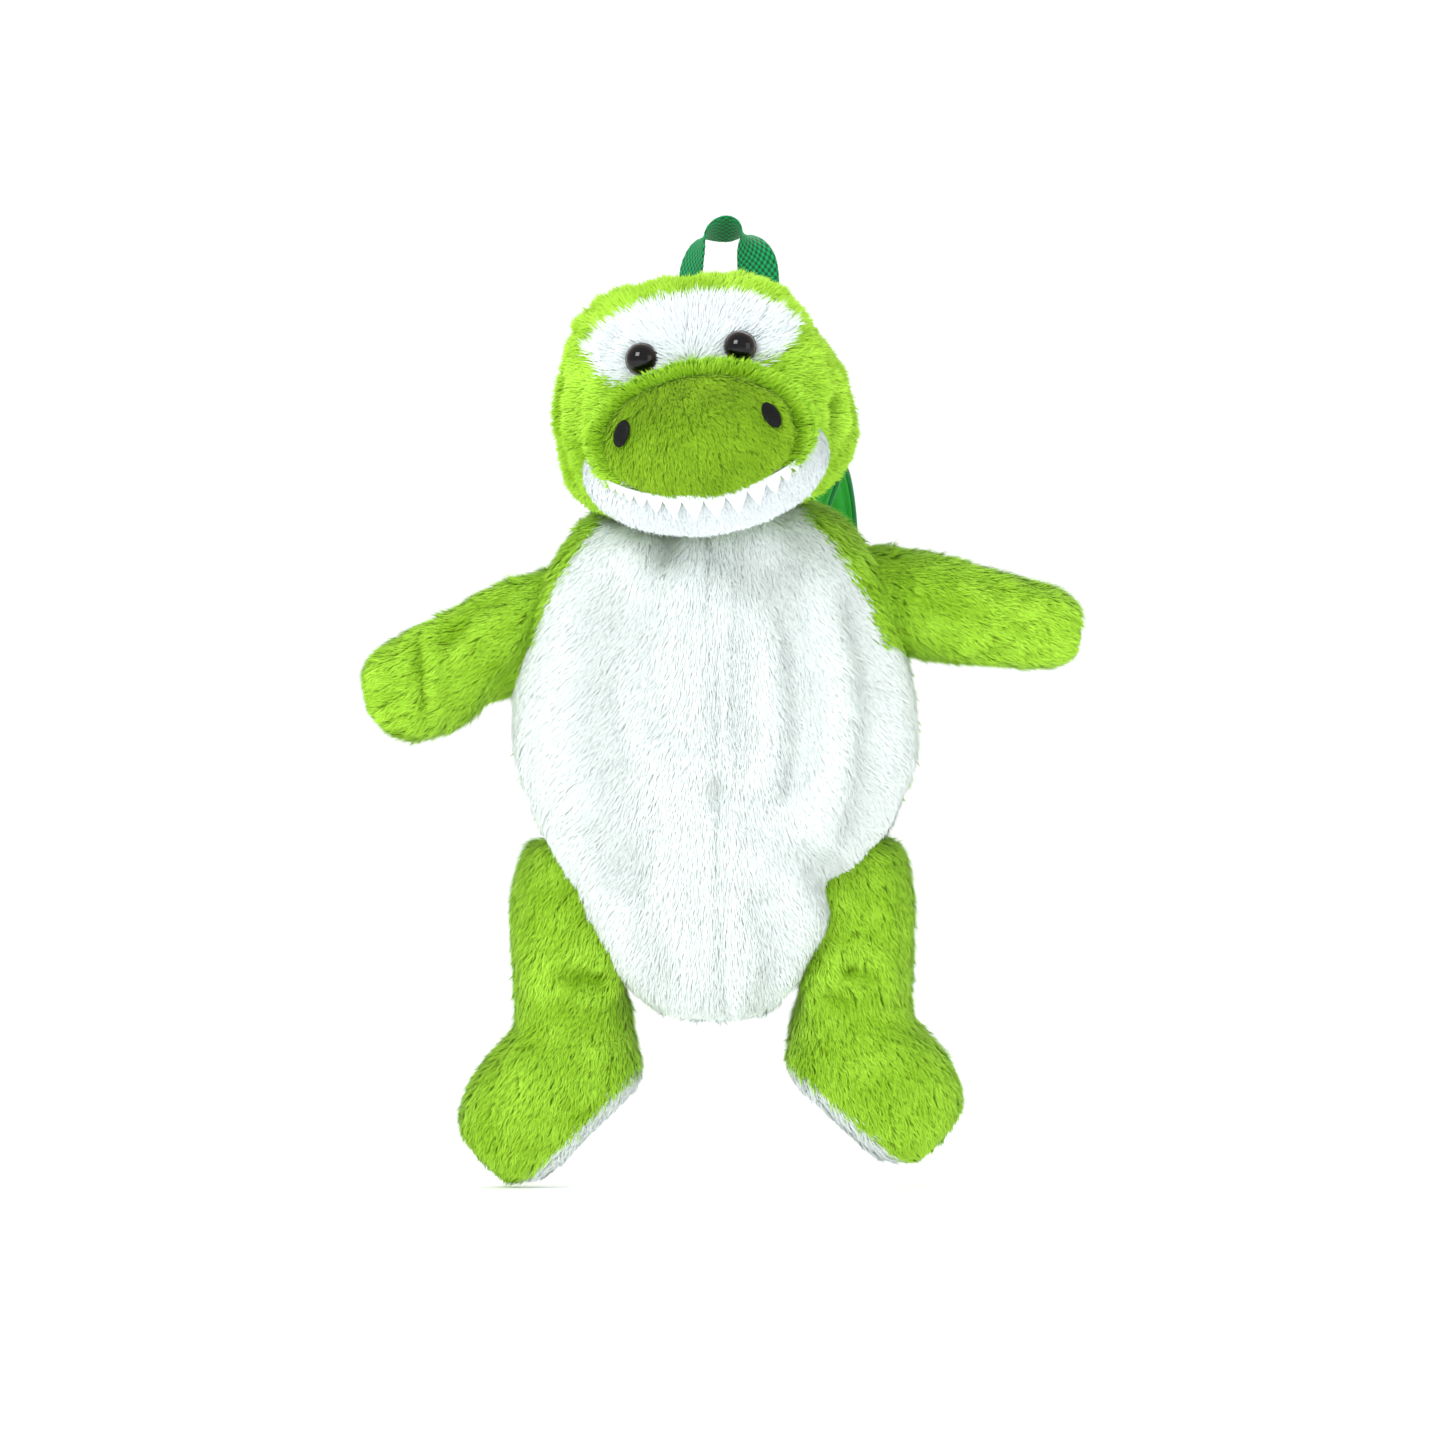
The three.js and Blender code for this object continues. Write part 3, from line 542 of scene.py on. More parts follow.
def toWorld(points, place):
    return turnedWorld(points, place) + np.array(place.translation)


# the outline of the white patch over the eyes, in the head's x and z
browOutline = np.array([(-49, 30), (-44, 36), (-38, 41), (-30, 44), (-22, 46), (-8, 49), (0, 48), (8, 49),
                        (22, 48), (34, 44), (43, 38), (49, 31), (50, 28), (45, 21), (38, 15), (24, 12), (10, 14),
                        (0, 14.5), (-10, 14), (-24, 12), (-38, 14), (-46, 21)]) * mm


def insideOutline(x, z, outline):
    inside = np.zeros(len(x), bool)
    count = len(outline)
    for i in range(count):
        (x1, z1), (x2, z2) = outline[i], outline[(i + 1) % count]
        crosses = ((z1 > z) != (z2 > z)) & (x < (x2 - x1) * (z - z1) / (z2 - z1 + 1e-12) + x1)
        inside ^= crosses
    return inside


def makeHead():
    skin = meltedSkin("headCloth", ["face_panel", "head_back_panel", "brow_patch", "head_stuffing",
                                    "eye_left", "eye_right", "eye_washer_left", "eye_washer_right"], 3.5 * mm, 26)
    points, normals = vectorsOf(skin.data, "co"), vectorsOf(skin.data, "normal")
    points = points - normals * head["inset"]
    local, facing = toLocal(points, headPlace), turnedLocal(normals, headPlace)
    # the skin dips where each eye is pressed in
    for side in (-1, 1):
        away = np.hypot(local[:, 0] - side * head["eyeX"], local[:, 2] - head["eyeZ"])
        front = local[:, 1] < -35 * mm
        level = head["eyeY"] + 2.5 * mm
        dip = (1 - smoothStep(away, 9 * mm, 14 * mm)) * front
        local[:, 1] = np.where(local[:, 1] < level, local[:, 1] + (level - local[:, 1]) * dip, local[:, 1])
    # gathers fan out from the patch over the crown, and a soft fold runs down each cheek
    amount = 1.3 * mm * lumps(local, 55 * mm, 4) + 1.0 * mm * lumps(local, 22 * mm, 5)
    for angle in (-64, -50, -33, -12, 8, 26, 41, 55, 68):
        start = np.array([math.sin(math.radians(angle)) * 52, -46 + abs(angle) * 0.1, 18 + math.cos(math.radians(angle)) * 42])
        end = start * np.array([1.35, 0.1, 1.12])
        amount += creased(distanceTo(local, np.array([start, (start + end) / 2 + (0, -4, 4), end]) * mm), 3.6 * mm, 5.2 * mm)
    for line in ([(-70, -20, 20), (-74, -24, -10), (-70, -30, -40)], [(66, -30, 30), (70, -30, 5), (66, -34, -20)],
                 [(-58, -44, 14), (-64, -40, -8), (-62, -40, -30)], [(50, -52, 18), (58, -46, 8), (66, -36, 4)],
                 [(54, -48, -2), (62, -42, -8), (70, -30, -10)]):
        amount += creased(distanceTo(local, np.array(line) * mm), 5 * mm, 3.6 * mm)
    local = local + facing * amount[:, None]
    setPoints(skin.data, toWorld(local, headPlace))
    ownMaterial(skin, limeBacking)
    points, normals = vectorsOf(skin.data, "co"), vectorsOf(skin.data, "normal")
    local, facing = toLocal(points, headPlace), turnedLocal(normals, headPlace)
    x, y, z = local.T
    muzzle, jaw = head["muzzle"], head["jaw"]
    hidden = np.zeros(len(x))
    for form in (muzzle, jaw):
        centre, radii = np.array(form["centre"]), np.array(form["radii"]) - 6 * mm
        inside = ((local - centre) / radii) ** 2
        hidden = np.maximum(hidden, 1 - smoothStep(inside.sum(1), 0.8, 1.0))
    eyes = sum(1 - smoothStep(np.hypot(x - s * head["eyeX"], z - head["eyeZ"]), 7 * mm, 9 * mm) for s in (-1, 1)) * (y < 0)
    brow = insideOutline(x, z, browOutline) & (y < 0)
    free = np.clip(1 - hidden - eyes, 0, 1)
    radial = np.stack([x * 1.2, (y + 60 * mm) * 0.9, z + 12 * mm], 1)
    down = np.array([0, 0.0, -1.0])
    flow = onSurface(unit(radial) + down * 0.35 + np.array([0, 0.35, 0]), facing)
    flow = turnedWorld(flow, headPlace)
    # painted shade and light: the pile darkens where the skin is sunk in gathers and folds and lightens a little on
    # raised lumps
    crease = np.clip(amount / (3 * mm), -1, 0.4) * 0.65
    back = smoothStep(y, -4 * mm, 8 * mm)
    dress(skin, flow, free * ~brow * (1 - back), tone=crease)
    face = growPile("facePile", skin, dict(plushCloth, Density=2.3e6), limePile, 21)
    dress(skin, flow, free * ~brow * back, tone=crease)
    rear = growPile("headBackPile", skin, dict(plushCloth, Density=1.4e6), limePile, 22)
    lift = np.stack([x * 1.1, np.zeros(len(x)), z - 18 * mm], 1)
    browFlow = turnedWorld(onSurface(unit(lift) + np.array([0, 0.0, 0.35]), facing), headPlace)
    tips = smoothStep(np.abs(x), 40 * mm, 54 * mm)
    dress(skin, browFlow, free * brow, longer=1 + 0.35 * tips)
    patch = growPile("browPile", skin, browCloth, fleecePile, 23)
    for piece in (skin, face, rear, patch):
        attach(piece, "head")
    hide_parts("face_panel", "head_back_panel", "head_stuffing")
    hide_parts("brow_patch")


# an egg-shaped closed form in the head's frame
def eggSkin(name, centre, radii, inset, rows=72):
    work = bmesh.new()
    bmesh.ops.create_uvsphere(work, u_segments=rows * 2, v_segments=rows, radius=1)
    mesh = bpy.data.meshes.new(name)
    work.to_mesh(mesh)
    work.free()
    skin = added(name, mesh)
    points = vectorsOf(mesh, "co") * (np.array(radii) - inset) + np.array(centre)
    setPoints(mesh, points)
    return skin


def makeMuzzle():
    muzzle = head["muzzle"]
    skin = eggSkin("muzzleCloth", muzzle["centre"], muzzle["radii"], muzzle["inset"])
    local, facing = vectorsOf(skin.data, "co"), vectorsOf(skin.data, "normal")
    centre, radii = np.array(muzzle["centre"]), np.array(muzzle["radii"])
    # the rim rolls up to the seam, and the pad starts again in front of it
    x, y, z = local.T
    upper = smoothStep(z, -52 * mm, -30 * mm)
    seam = muzzle["seamY"]
    distance = np.abs(y - seam)
    amount = creased(distance, muzzle["grooveWidth"], muzzle["grooveDepth"] * 1.0, 0.35) * upper
    # a second, shallower fold beside it on the left half
    second = np.abs(y - (seam + 10 * mm))
    amount += creased(second, 2.2 * mm, 2.2 * mm) * smoothStep(x, -12 * mm, 24 * mm) * upper
    amount += 0.8 * mm * lumps(local, 34 * mm, 8)
    setPoints(skin.data, toWorld(local + facing * amount[:, None], headPlace))
    ownMaterial(skin, limeBacking)
    points, normals = vectorsOf(skin.data, "co"), vectorsOf(skin.data, "normal")
    local, facing = toLocal(points, headPlace), turnedLocal(normals, headPlace)
    x, y, z = local.T
    inHead = smoothStep(y, -44 * mm, -36 * mm)
    spots = np.zeros(len(x))
    for side in (-1, 1):
        lean = head["nostrilLean"] * side
        dx, dz = x - side * head["nostrilX"], z - head["nostrilZ"]
        u, v = dx * math.cos(lean) - dz * math.sin(lean), dx * math.sin(lean) + dz * math.cos(lean)
        spots = np.maximum(spots, 1 - smoothStep(np.hypot(u / 4.2, v / 7.7), 0.95 * mm, 1.15 * mm))
    # painted shade in the rim's seam groove and folds, and painted light on their raised lips, carried into the pile's
    # tone
    crease = np.clip(amount / (4 * mm), -1, 0.3) * 0.6
    pad = 1 - smoothStep(y, seam - 0.5 * mm, seam + 0.5 * mm)
    pad = np.maximum(pad, 1 - smoothStep(z, -50 * mm, -46 * mm))
    rimFlow = onSurface(np.stack([x, (y + 30 * mm), z + 25 * mm], 1) * np.array([1.0, 0.4, 1.0]), facing)
    padFlow = onSurface(np.stack([x * 0.6 + 10 * mm, np.zeros(len(x)), np.full(len(x), -45 * mm)], 1), facing)
    dress(skin, turnedWorld(rimFlow, headPlace), (1 - pad) * (1 - inHead), tone=crease)
    rim = growPile("muzzleRimPile", skin, dict(plushCloth, Length=6.5 * mm), limePile, 31)
    dress(skin, turnedWorld(padFlow, headPlace), pad * (1 - spots) * (1 - inHead), tone=crease)
    front = growPile("muzzlePadPile", skin, padCloth, padPile, 32)
    for piece in (skin, rim, front):
        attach(piece, "head")
    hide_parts("muzzle_stuffing")
    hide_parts("muzzle_rim")
    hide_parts("muzzle_pad")


def makeJaw():
    jaw = head["jaw"]
    skin = eggSkin("jawCloth", jaw["centre"], jaw["radii"], jaw["inset"])
    local, facing = vectorsOf(skin.data, "co"), vectorsOf(skin.data, "normal")
    setPoints(skin.data, toWorld(local + facing * (0.7 * mm * lumps(local, 30 * mm, 12))[:, None], headPlace))
    ownMaterial(skin, whiteBacking)
    points, normals = vectorsOf(skin.data, "co"), vectorsOf(skin.data, "normal")
    local, facing = toLocal(points, headPlace), turnedLocal(normals, headPlace)
    x, y, z = local.T
    low = 1 - smoothStep(z, -26 * mm, -20 * mm)
    flow = onSurface(np.stack([x * 0.5, np.zeros(len(x)), np.full(len(x), -50 * mm)], 1), facing)
    dress(skin, turnedWorld(flow, headPlace), low * (1 - smoothStep(y, -36 * mm, -28 * mm)))
    # the jaw's pile takes the lighter fleece colours: painted light on its shaded underside
    pile = growPile("jawPile", skin, fleeceCloth, fleecePile, 41)
    for piece in (skin, pile):
        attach(piece, "head")
    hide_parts("jaw_stuffing", "jaw_panel")


makeHead()
makeMuzzle()
makeJaw()
print("head is covered")


# Bag: a slack sack, two white panels in front and lime ones behind

bag = {
    "middleX": -11 * mm, "seamY": 14 * mm, "inset": 1.8 * mm,
    # the white panels end at the green shoulders: distance from the middle at each height
    "shoulder": [(-236, 150), (-219, 94), (-201, 88), (-181, 77), (-166, 66), (-147, 47), (-120, 40)],
    "seamLine": [(-14, -160), (-13, -200), (-11, -250), (-9, -300), (-8, -350), (-7, -412)],
    "folds": [
        ([(-62, -196), (-66, -240), (-60, -290), (-52, -330)], 13, 5.0),
        ([(-36, -176), (-44, -215), (-40, -260)], 8, 3.4),
        ([(0, -178), (4, -205), (0, -240), (3, -280)], 8, 3.2),
        ([(18, -186), (30, -222), (34, -262), (26, -300)], 10, 4.2),
        ([(58, -200), (66, -240), (64, -290), (50, -330)], 10, 3.0),
        ([(-6, -296), (12, -312), (34, -330), (54, -352)], 9, 4.2),
        ([(-70, -318), (-48, -352), (-38, -390)], 9, 3.0),
        ([(12, -352), (20, -380), (14, -402)], 8, 2.6),
    ],
}


def makeBag():
    skin = meltedSkin("bagCloth", ["belly_panel_left", "belly_panel_right", "back_yoke", "back_panel", "lining",
                                   "zip_tape_upper", "zip_tape_lower"], 4 * mm, 30)
    points, normals = vectorsOf(skin.data, "co"), vectorsOf(skin.data, "normal")
    points = points - normals * bag["inset"]
    flat = points[:, [0, 2]]
    front = smoothStep(-normals[:, 1], 0.0, 0.5)
    amount = 1.4 * mm * lumps(points, 70 * mm, 15)
    seam = distanceTo(flat, np.array(bag["seamLine"]) * mm)
    shade = creased(seam, 3 * mm, 3.2 * mm, 0.3) * front
    for line, width, depth in bag["folds"]:
        shade += creased(distanceTo(flat, np.array(line) * mm), width * mm, 1.5 * depth * mm) * front
    amount += shade
    points = points + normals * amount[:, None]
    setPoints(skin.data, points)
    relaxed(skin, 3 * mm)
    ownMaterial(skin, whiteBacking)
    points, normals = vectorsOf(skin.data, "co"), vectorsOf(skin.data, "normal")
    x, y, z = points.T
    side = x - bag["middleX"]
    down = np.stack([side * 1.2, np.zeros(len(x)), np.full(len(x), -90 * mm)], 1)
    flow = onSurface(down, normals)
    # painted shade in the seam and folds, and painted light on their raised lips, from the fold depth
    tone = np.clip(shade / (5 * mm), -1, 0.4) * 0.6
    rear = smoothStep(y, bag["seamY"] - 0.5 * mm, bag["seamY"] + 0.5 * mm)
    levels, reach = np.array(bag["shoulder"], float).T * mm
    reach = np.interp(z, levels, reach) - np.where(side > 0, 9 * mm, 3 * mm)
    rear = np.maximum(rear, smoothStep(np.abs(side) - reach, -0.5 * mm, 0.5 * mm))
    # the knitted backing is lime under the lime panels
    skin.data.materials.append(limeBacking)
    corners = np.empty(len(skin.data.polygons), np.int32)
    skin.data.polygons.foreach_get("loop_start", corners)
    points = np.empty(len(skin.data.loops), np.int32)
    skin.data.loops.foreach_get("vertex_index", points)
    skin.data.polygons.foreach_set("material_index", (rear[points[corners]] > 0.5).astype(np.int32))
    left = side > 0
    pieces = []
    for name, cover, finish, seed, node in (
            ("bellyPileLeft", (1 - rear) * left, whitePile, 51, "belly_panel_left"),
            ("bellyPileRight", (1 - rear) * ~left, whitePile, 52, "belly_panel_right"),
            ("backPile", rear, limePile, 53, "back_panel")):
        dress(skin, flow, cover, tone=tone)
        cloth = dict(plushCloth, Density=1.05e6, Width=0.9 * mm) if finish is limePile else bellyCloth
        pile = growPile(name, skin, cloth, finish, seed)
        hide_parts(node)
        pieces.append(pile)
    for piece in (skin, *pieces):
        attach(piece, "bag")
    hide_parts("lining", "back_yoke")


makeBag()
print("bag is covered")


# Arms and legs

limbs = {
    "armRoot": {"centre": (0, 5 * mm, 8 * mm), "radii": (29 * mm, 22 * mm, 44 * mm)},
    "thigh": {"centre": (13 * mm, -9 * mm, -42 * mm), "radii": (28 * mm, 24 * mm, 56 * mm)},
    "arm_left": {"shoulder": (81, -4, -198), "slope": 10, "side": 1, "creases": [
        ([(-14, 72), (-8, 92), (-5, 103)], 3, 4), ([(10, 78), (8, 94), (6, 104)], 3, 3.5),
        ([(-20, 44), (-14, 60), (-16, 72)], 3.5, 3), ([(24, 18), (20, 40), (14, 52)], 4, 2.5)]},
    "arm_right": {"shoulder": (-99, -4, -211), "slope": 26, "side": -1, "creases": [
        ([(26, 56), (8, 64), (-18, 74)], 3.5, 5), ([(4, 72), (12, 80), (24, 90)], 3, 4.5),
        ([(-12, 80), (-7, 92), (0, 104)], 3, 4.5), ([(22, 2), (21, 28), (14, 46)], 4.5, 3)]},
    "leg_left": {"hip": (72, 6, -330), "foot": (0, -4, -115), "toeOut": 42, "side": 1, "creases": [
        ([(30, -26, -60), (8, -36, -66), (-14, -30, -58)], 5, 5), ([(-26, -24, -70), (-6, -36, -74)], 4.5, 3.5)]},
    "leg_right": {"hip": (-95, 6, -330), "foot": (0, -4, -122), "toeOut": 45, "side": -1, "creases": [
        ([(-24, -26, -52), (-4, -36, -60), (26, -28, -62)], 5, 4.5), ([(-30, -22, -64), (-8, -34, -72)], 4.5, 3)]},
}


def makeArm(name):
    arm = limbs[name]
    word = name.split("_")[1]
    side = arm["side"]
    place = (Matrix.Translation(Vector(arm["shoulder"]) * mm)
             @ Matrix.Rotation(side * math.radians(90 + arm["slope"]), 4, "Y"))
    # the sleeve's root runs on into the bag's side, where it is sewn
    root = roundedBlock(place, limbs["armRoot"]["centre"], limbs["armRoot"]["radii"])
    skin = meltedSkin(f"armCloth{word.title()}", [f"arm_cover_{word}", f"arm_stuffing_{word}"], 3.5 * mm, 22, [root])
    points, normals = vectorsOf(skin.data, "co"), vectorsOf(skin.data, "normal")
    points = points - normals * 2.6 * mm
    local, facing = toLocal(points, place), turnedLocal(normals, place)
    amount = 1.2 * mm * lumps(local, 45 * mm, 60 + side)
    shade = np.zeros(len(local))
    # a crease across the palm and two clefts part the paw into three rounded fingers
    for line, width, depth in arm["creases"]:
        path = [(-side * up * mm, -24 * mm, along * mm) for up, along in line]
        gap = distanceTo(local * (1, 0.5, 1), np.array(path) * (1, 0.5, 1))
        shade += creased(gap, width * mm, depth * mm, 0.4)
    amount += shade
    local = local + facing * amount[:, None]
    setPoints(skin.data, toWorld(local, place))
    ownMaterial(skin, limeBacking)
    points, normals = vectorsOf(skin.data, "co"), vectorsOf(skin.data, "normal")
    outward = np.array([side * 1.0, 0, -0.55])
    flow = onSurface(np.tile(outward, (len(points), 1)), normals)
    hidden = 1 - smoothStep(toLocal(points, place)[:, 2], -34 * mm, -28 * mm)
    # the tone is painted shade in the paw's creases and painted light on their raised lips
    dress(skin, flow, 1 - hidden, tone=np.clip(shade / (5 * mm), -1, 0.4) * 0.6)
    pile = growPile(f"armPile{word.title()}", skin, dict(plushCloth, Density=2.1e6), limePile, 60 + side)
    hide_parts(f"arm_stuffing_{word}")
    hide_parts(f"arm_cover_{word}")
    for piece in (skin, pile):
        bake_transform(piece)


def makeLeg(name):
    leg = limbs[name]
    word = name.split("_")[1]
    side = leg["side"]
    hip = Matrix.Translation(Vector(leg["hip"]) * mm)
    ankle = (hip @ Matrix.Translation(Vector(leg["foot"]) * mm)
             @ Matrix.Rotation(side * math.radians(90 + leg["toeOut"]), 4, "Y"))
    # the thigh lies a little in front of the bag's side, where it is sewn
    x, y, z = limbs["thigh"]["centre"]
    thigh = roundedBlock(hip, (-side * x, y, z), limbs["thigh"]["radii"])
    skin = meltedSkin(f"legCloth{word.title()}", [f"leg_cover_{word}", f"leg_stuffing_{word}", f"sole_{word}"],
                      3.5 * mm, 22, [thigh])
    points, normals = vectorsOf(skin.data, "co"), vectorsOf(skin.data, "normal")
    points = points - normals * 2.8 * mm
    amount = 1.3 * mm * lumps(points, 55 * mm, 70 + side)
    shade = np.zeros(len(points))
    # knee creases across the front
    for line, width, depth in leg["creases"]:
        shade += creased(distanceTo(toLocal(points, hip), np.array(line) * mm), width * mm, depth * mm)
    amount += shade
    setPoints(skin.data, points + normals * amount[:, None])
    ownMaterial(skin, limeBacking)
    points, normals = vectorsOf(skin.data, "co"), vectorsOf(skin.data, "normal")
    foot = toLocal(points, ankle)
    level = foot[:, 0] * side
    sole = smoothStep(level, 22 * mm, 23 * mm) * (turnedLocal(normals, ankle)[:, 0] * side > 0.3)
    outward = np.array([side * 0.45, -0.1, -1.0])
    flow = onSurface(np.tile(outward, (len(points), 1)), normals)
    # painted shade in the knee creases and painted light on their raised lips
    tone = np.clip(shade / (5 * mm), -1, 0.4) * 0.6
    dress(skin, flow, 1 - sole, tone=tone)
    pile = growPile(f"legPile{word.title()}", skin, dict(plushCloth, Density=1.75e6), limePile, 70 + side)
    dress(skin, flow, sole)
    under = growPile(f"solePile{word.title()}", skin, dict(plushCloth, Length=5 * mm), whitePile, 74 + side)
    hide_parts(f"leg_stuffing_{word}")
    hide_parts(f"leg_cover_{word}")
    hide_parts(f"sole_{word}")
    for piece in (skin, pile, under):
        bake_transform(piece)


for limb in ("arm_left", "arm_right"):
    makeArm(limb)
for limb in ("leg_left", "leg_right"):
    makeLeg(limb)
print("arms and legs are covered")


# Strips: a closed band along a path of stations, each a point, the direction across, and a width

def smoothPath(stations, count):
    data = np.array(stations, float)
    ends = np.vstack([2 * data[0] - data[1], data, 2 * data[-1] - data[-2]])
    fine = []
    for i in range(1, len(ends) - 2):
        a, b, c, d = ends[i - 1:i + 3]
        for t in np.linspace(0, 1, 24, endpoint=False):
            fine.append(0.5 * (2 * b + (c - a) * t + (2 * a - 5 * b + 4 * c - d) * t ** 2
                               + (3 * b - a - 3 * c + d) * t ** 3))
    fine = np.array([*fine, data[-1]])
    lengths = np.concatenate([[0], np.cumsum(np.linalg.norm(np.diff(fine[:, :3], axis=0), axis=1))])
    even = np.linspace(0, lengths[-1], count)
    return np.stack([np.interp(even, lengths, column) for column in fine.T], 1), even


def pathFrames(stations, count):
    data, reach = smoothPath(stations, count)
    at = data[:, :3]
    ahead = unit(np.gradient(at, axis=0))
    across = data[:, 3:6]
    across = unit(across - (across * ahead).sum(1)[:, None] * ahead)
    return at, across, np.cross(across, ahead), data[:, 6], reach


# section gives, for one step, the offsets across and out all the way round; relief lifts the surface
def stripMesh(name, frames, section, mapScale=1.0):
    at, across, out, width, reach = frames
    rings = [section(i, width[i], reach[i]) for i in range(len(at))]
    count = len(rings[0])
    points = [at[i] + ring[:, :1] * across[i] + ring[:, 1:2] * out[i] for i, ring in enumerate(rings)]
    ends = [at[0], at[-1]]
    mesh = bpy.data.meshes.new(name)
    faces = []
    for i in range(len(at) - 1):
        for j in range(count):
            k = (j + 1) % count
            faces.append((i * count + j, i * count + k, (i + 1) * count + k, (i + 1) * count + j))
    first, last = len(at) * count, len(at) * count + 1
    for j in range(count):
        k = (j + 1) % count
        faces.append((first, k, j))
        faces.append((last, (len(at) - 1) * count + j, (len(at) - 1) * count + k))
    mesh.from_pydata([tuple(p) for ring in points for p in ring] + [tuple(p) for p in ends], [], faces)
    around = [np.concatenate([[0], np.cumsum(np.linalg.norm(np.diff(ring, axis=0), axis=1))]) for ring in rings]
    places = np.array([(reach[i], around[i][j]) for i in range(len(at)) for j in range(count)]
                      + [(reach[0], 0), (reach[-1], 0)]) * mapScale
    layer = mesh.uv_layers.new(name="clothMap")
    corners = np.empty(len(mesh.loops), np.int32)
    mesh.loops.foreach_get("vertex_index", corners)
    layer.data.foreach_set("uv", places[corners].astype(np.float32).ravel())
    work = bmesh.new()
    work.from_mesh(mesh)
    bmesh.ops.recalc_face_normals(work, faces=work.faces)
    work.to_mesh(mesh)
    work.free()
    return added(name, mesh)


# coarse woven polypropylene: rows of shiny yarn humps, with painted highlight on their tops and painted shade between
# them
def wovenFinish(name, deep, pale, pitch, roughness):
    made, tree, output = newMaterial(name)
    mapping = addNode(tree, "ShaderNodeUVMap", {"uv_map": "clothMap"})
    parts = addNode(tree, "ShaderNodeSeparateXYZ", None, {0: mapping.outputs[0]}).outputs
    waves = []
    for i in range(2):
        turn = addNode(tree, "ShaderNodeMath", {"operation": "MULTIPLY"}, {0: parts[i], 1: math.pi / pitch})
        waves.append(addNode(tree, "ShaderNodeMath", {"operation": "COSINE"}, {0: turn.outputs[0]}).outputs[0])
    # painted highlight on the yarn humps and painted shade in the hollows between them, with random yarn grain added
    weave = addNode(tree, "ShaderNodeMath", {"operation": "MULTIPLY"}, {0: waves[0], 1: waves[1]}).outputs[0]
    share = addNode(tree, "ShaderNodeMapRange", None, {0: weave, 1: -0.6, 2: 0.7, 3: 0.0, 4: 1.0}).outputs[0]
    yarn = addNode(tree, "ShaderNodeTexNoise", None, {"Vector": mapping.outputs[0], "Scale": 900.0, "Detail": 2.0})
    mixed = addNode(tree, "ShaderNodeMath", {"operation": "MULTIPLY_ADD"}, {0: yarn.outputs[0], 1: 0.35, 2: share})
    mixed = addNode(tree, "ShaderNodeMath", {"operation": "SUBTRACT", "use_clamp": True}, {0: mixed.outputs[0], 1: 0.17})
    colour = addNode(tree, "ShaderNodeMix", {"data_type": "RGBA"},
                     {0: mixed.outputs[0], 6: linear(deep), 7: linear(pale)}).outputs[2]
    bump = addNode(tree, "ShaderNodeBump", None, {"Strength": 0.5, "Distance": 0.0004, "Height": mixed.outputs[0]})
    surface = addNode(tree, "ShaderNodeBsdfPrincipled", None,
                      {"Base Color": colour, "Roughness": roughness, "Normal": bump.outputs[0],
                       "Specular IOR Level": 0.25})
    tree.links.new(surface.outputs[0], output.inputs[0])
    return made


webbing = {"pitch": 1.9 * mm, "relief": 0.28 * mm, "thickness": 1.5 * mm, "step": 0.6 * mm}
webbingFinish = wovenFinish("wovenPolypropylene", "004a26", "02a45c", webbing["pitch"], 0.6)
tapeFinish = wovenFinish("wovenZipTape", "00582c", "0d9a55", 0.9 * mm, 0.6)


# a webbing's section: two faces with yarn humps and rounded edges
def webbingSection(step, width, reach):
    half, thick = width / 2, webbing["thickness"] / 2
    count = int(round(width / webbing["step"]))
    u = np.linspace(-half + thick * 0.6, half - thick * 0.6, count)
    hump = np.cos(math.pi * reach / webbing["pitch"]) * np.cos(math.pi * (u + half) / webbing["pitch"])
    lift = webbing["relief"] * np.where(hump > 0, np.sqrt(np.abs(hump)), 0.25 * np.sqrt(np.abs(hump)))
    upper = np.stack([u, thick - webbing["relief"] + lift], 1)
    lower = np.stack([u[::-1], -thick + webbing["relief"] - lift[::-1]], 1)
    return np.vstack([upper, [[half, 0]], lower, [[-half, 0]]])


def makeWebbing(name, stations):
    stations = [[*(np.array(s[:3]) * mm), *s[3:6], s[6] * mm] for s in stations]
    length = smoothPath(stations, 2)[1][-1]
    strip = stripMesh(name, pathFrames(stations, int(length / webbing["step"])), webbingSection)
    ownMaterial(strip, webbingFinish)
    return strip


grabLoop = [
    (-24, 4, -82, 0.6, -0.8, 0, 25), (-24, 15.5, -66, 0.6, -0.8, 0, 25), (-24, 11, -53, 0.55, -0.84, 0, 25), (-23.5, 9, -38, 0.48, -0.88, 0.05, 25),
    (-21.5, 9, -22, 0.45, -0.87, 0.15, 25), (-15.5, 9, -9.5, 0.3, -0.87, 0.35, 25), (-5, 10, -5.5, 0, -0.87, 0.5, 25),
    (5, 9.5, -9, -0.5, -0.75, 0.35, 25), (11, 8.5, -21, -0.8, -0.55, 0.1, 25), (12.5, 8.5, -37, -0.86, -0.5, 0, 25),
    (13, 11, -51, -0.88, -0.47, 0, 25), (13, 15.5, -64, -0.88, -0.47, 0, 25), (13, 4, -80, -0.88, -0.47, 0, 25)]
loop = makeWebbing("grabLoop", grabLoop)
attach(loop, "head")
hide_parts("grab_loop")
print("grab loop is woven")


# Eyes: polished acrylic domes on a thin flange, black with a dark brown rim

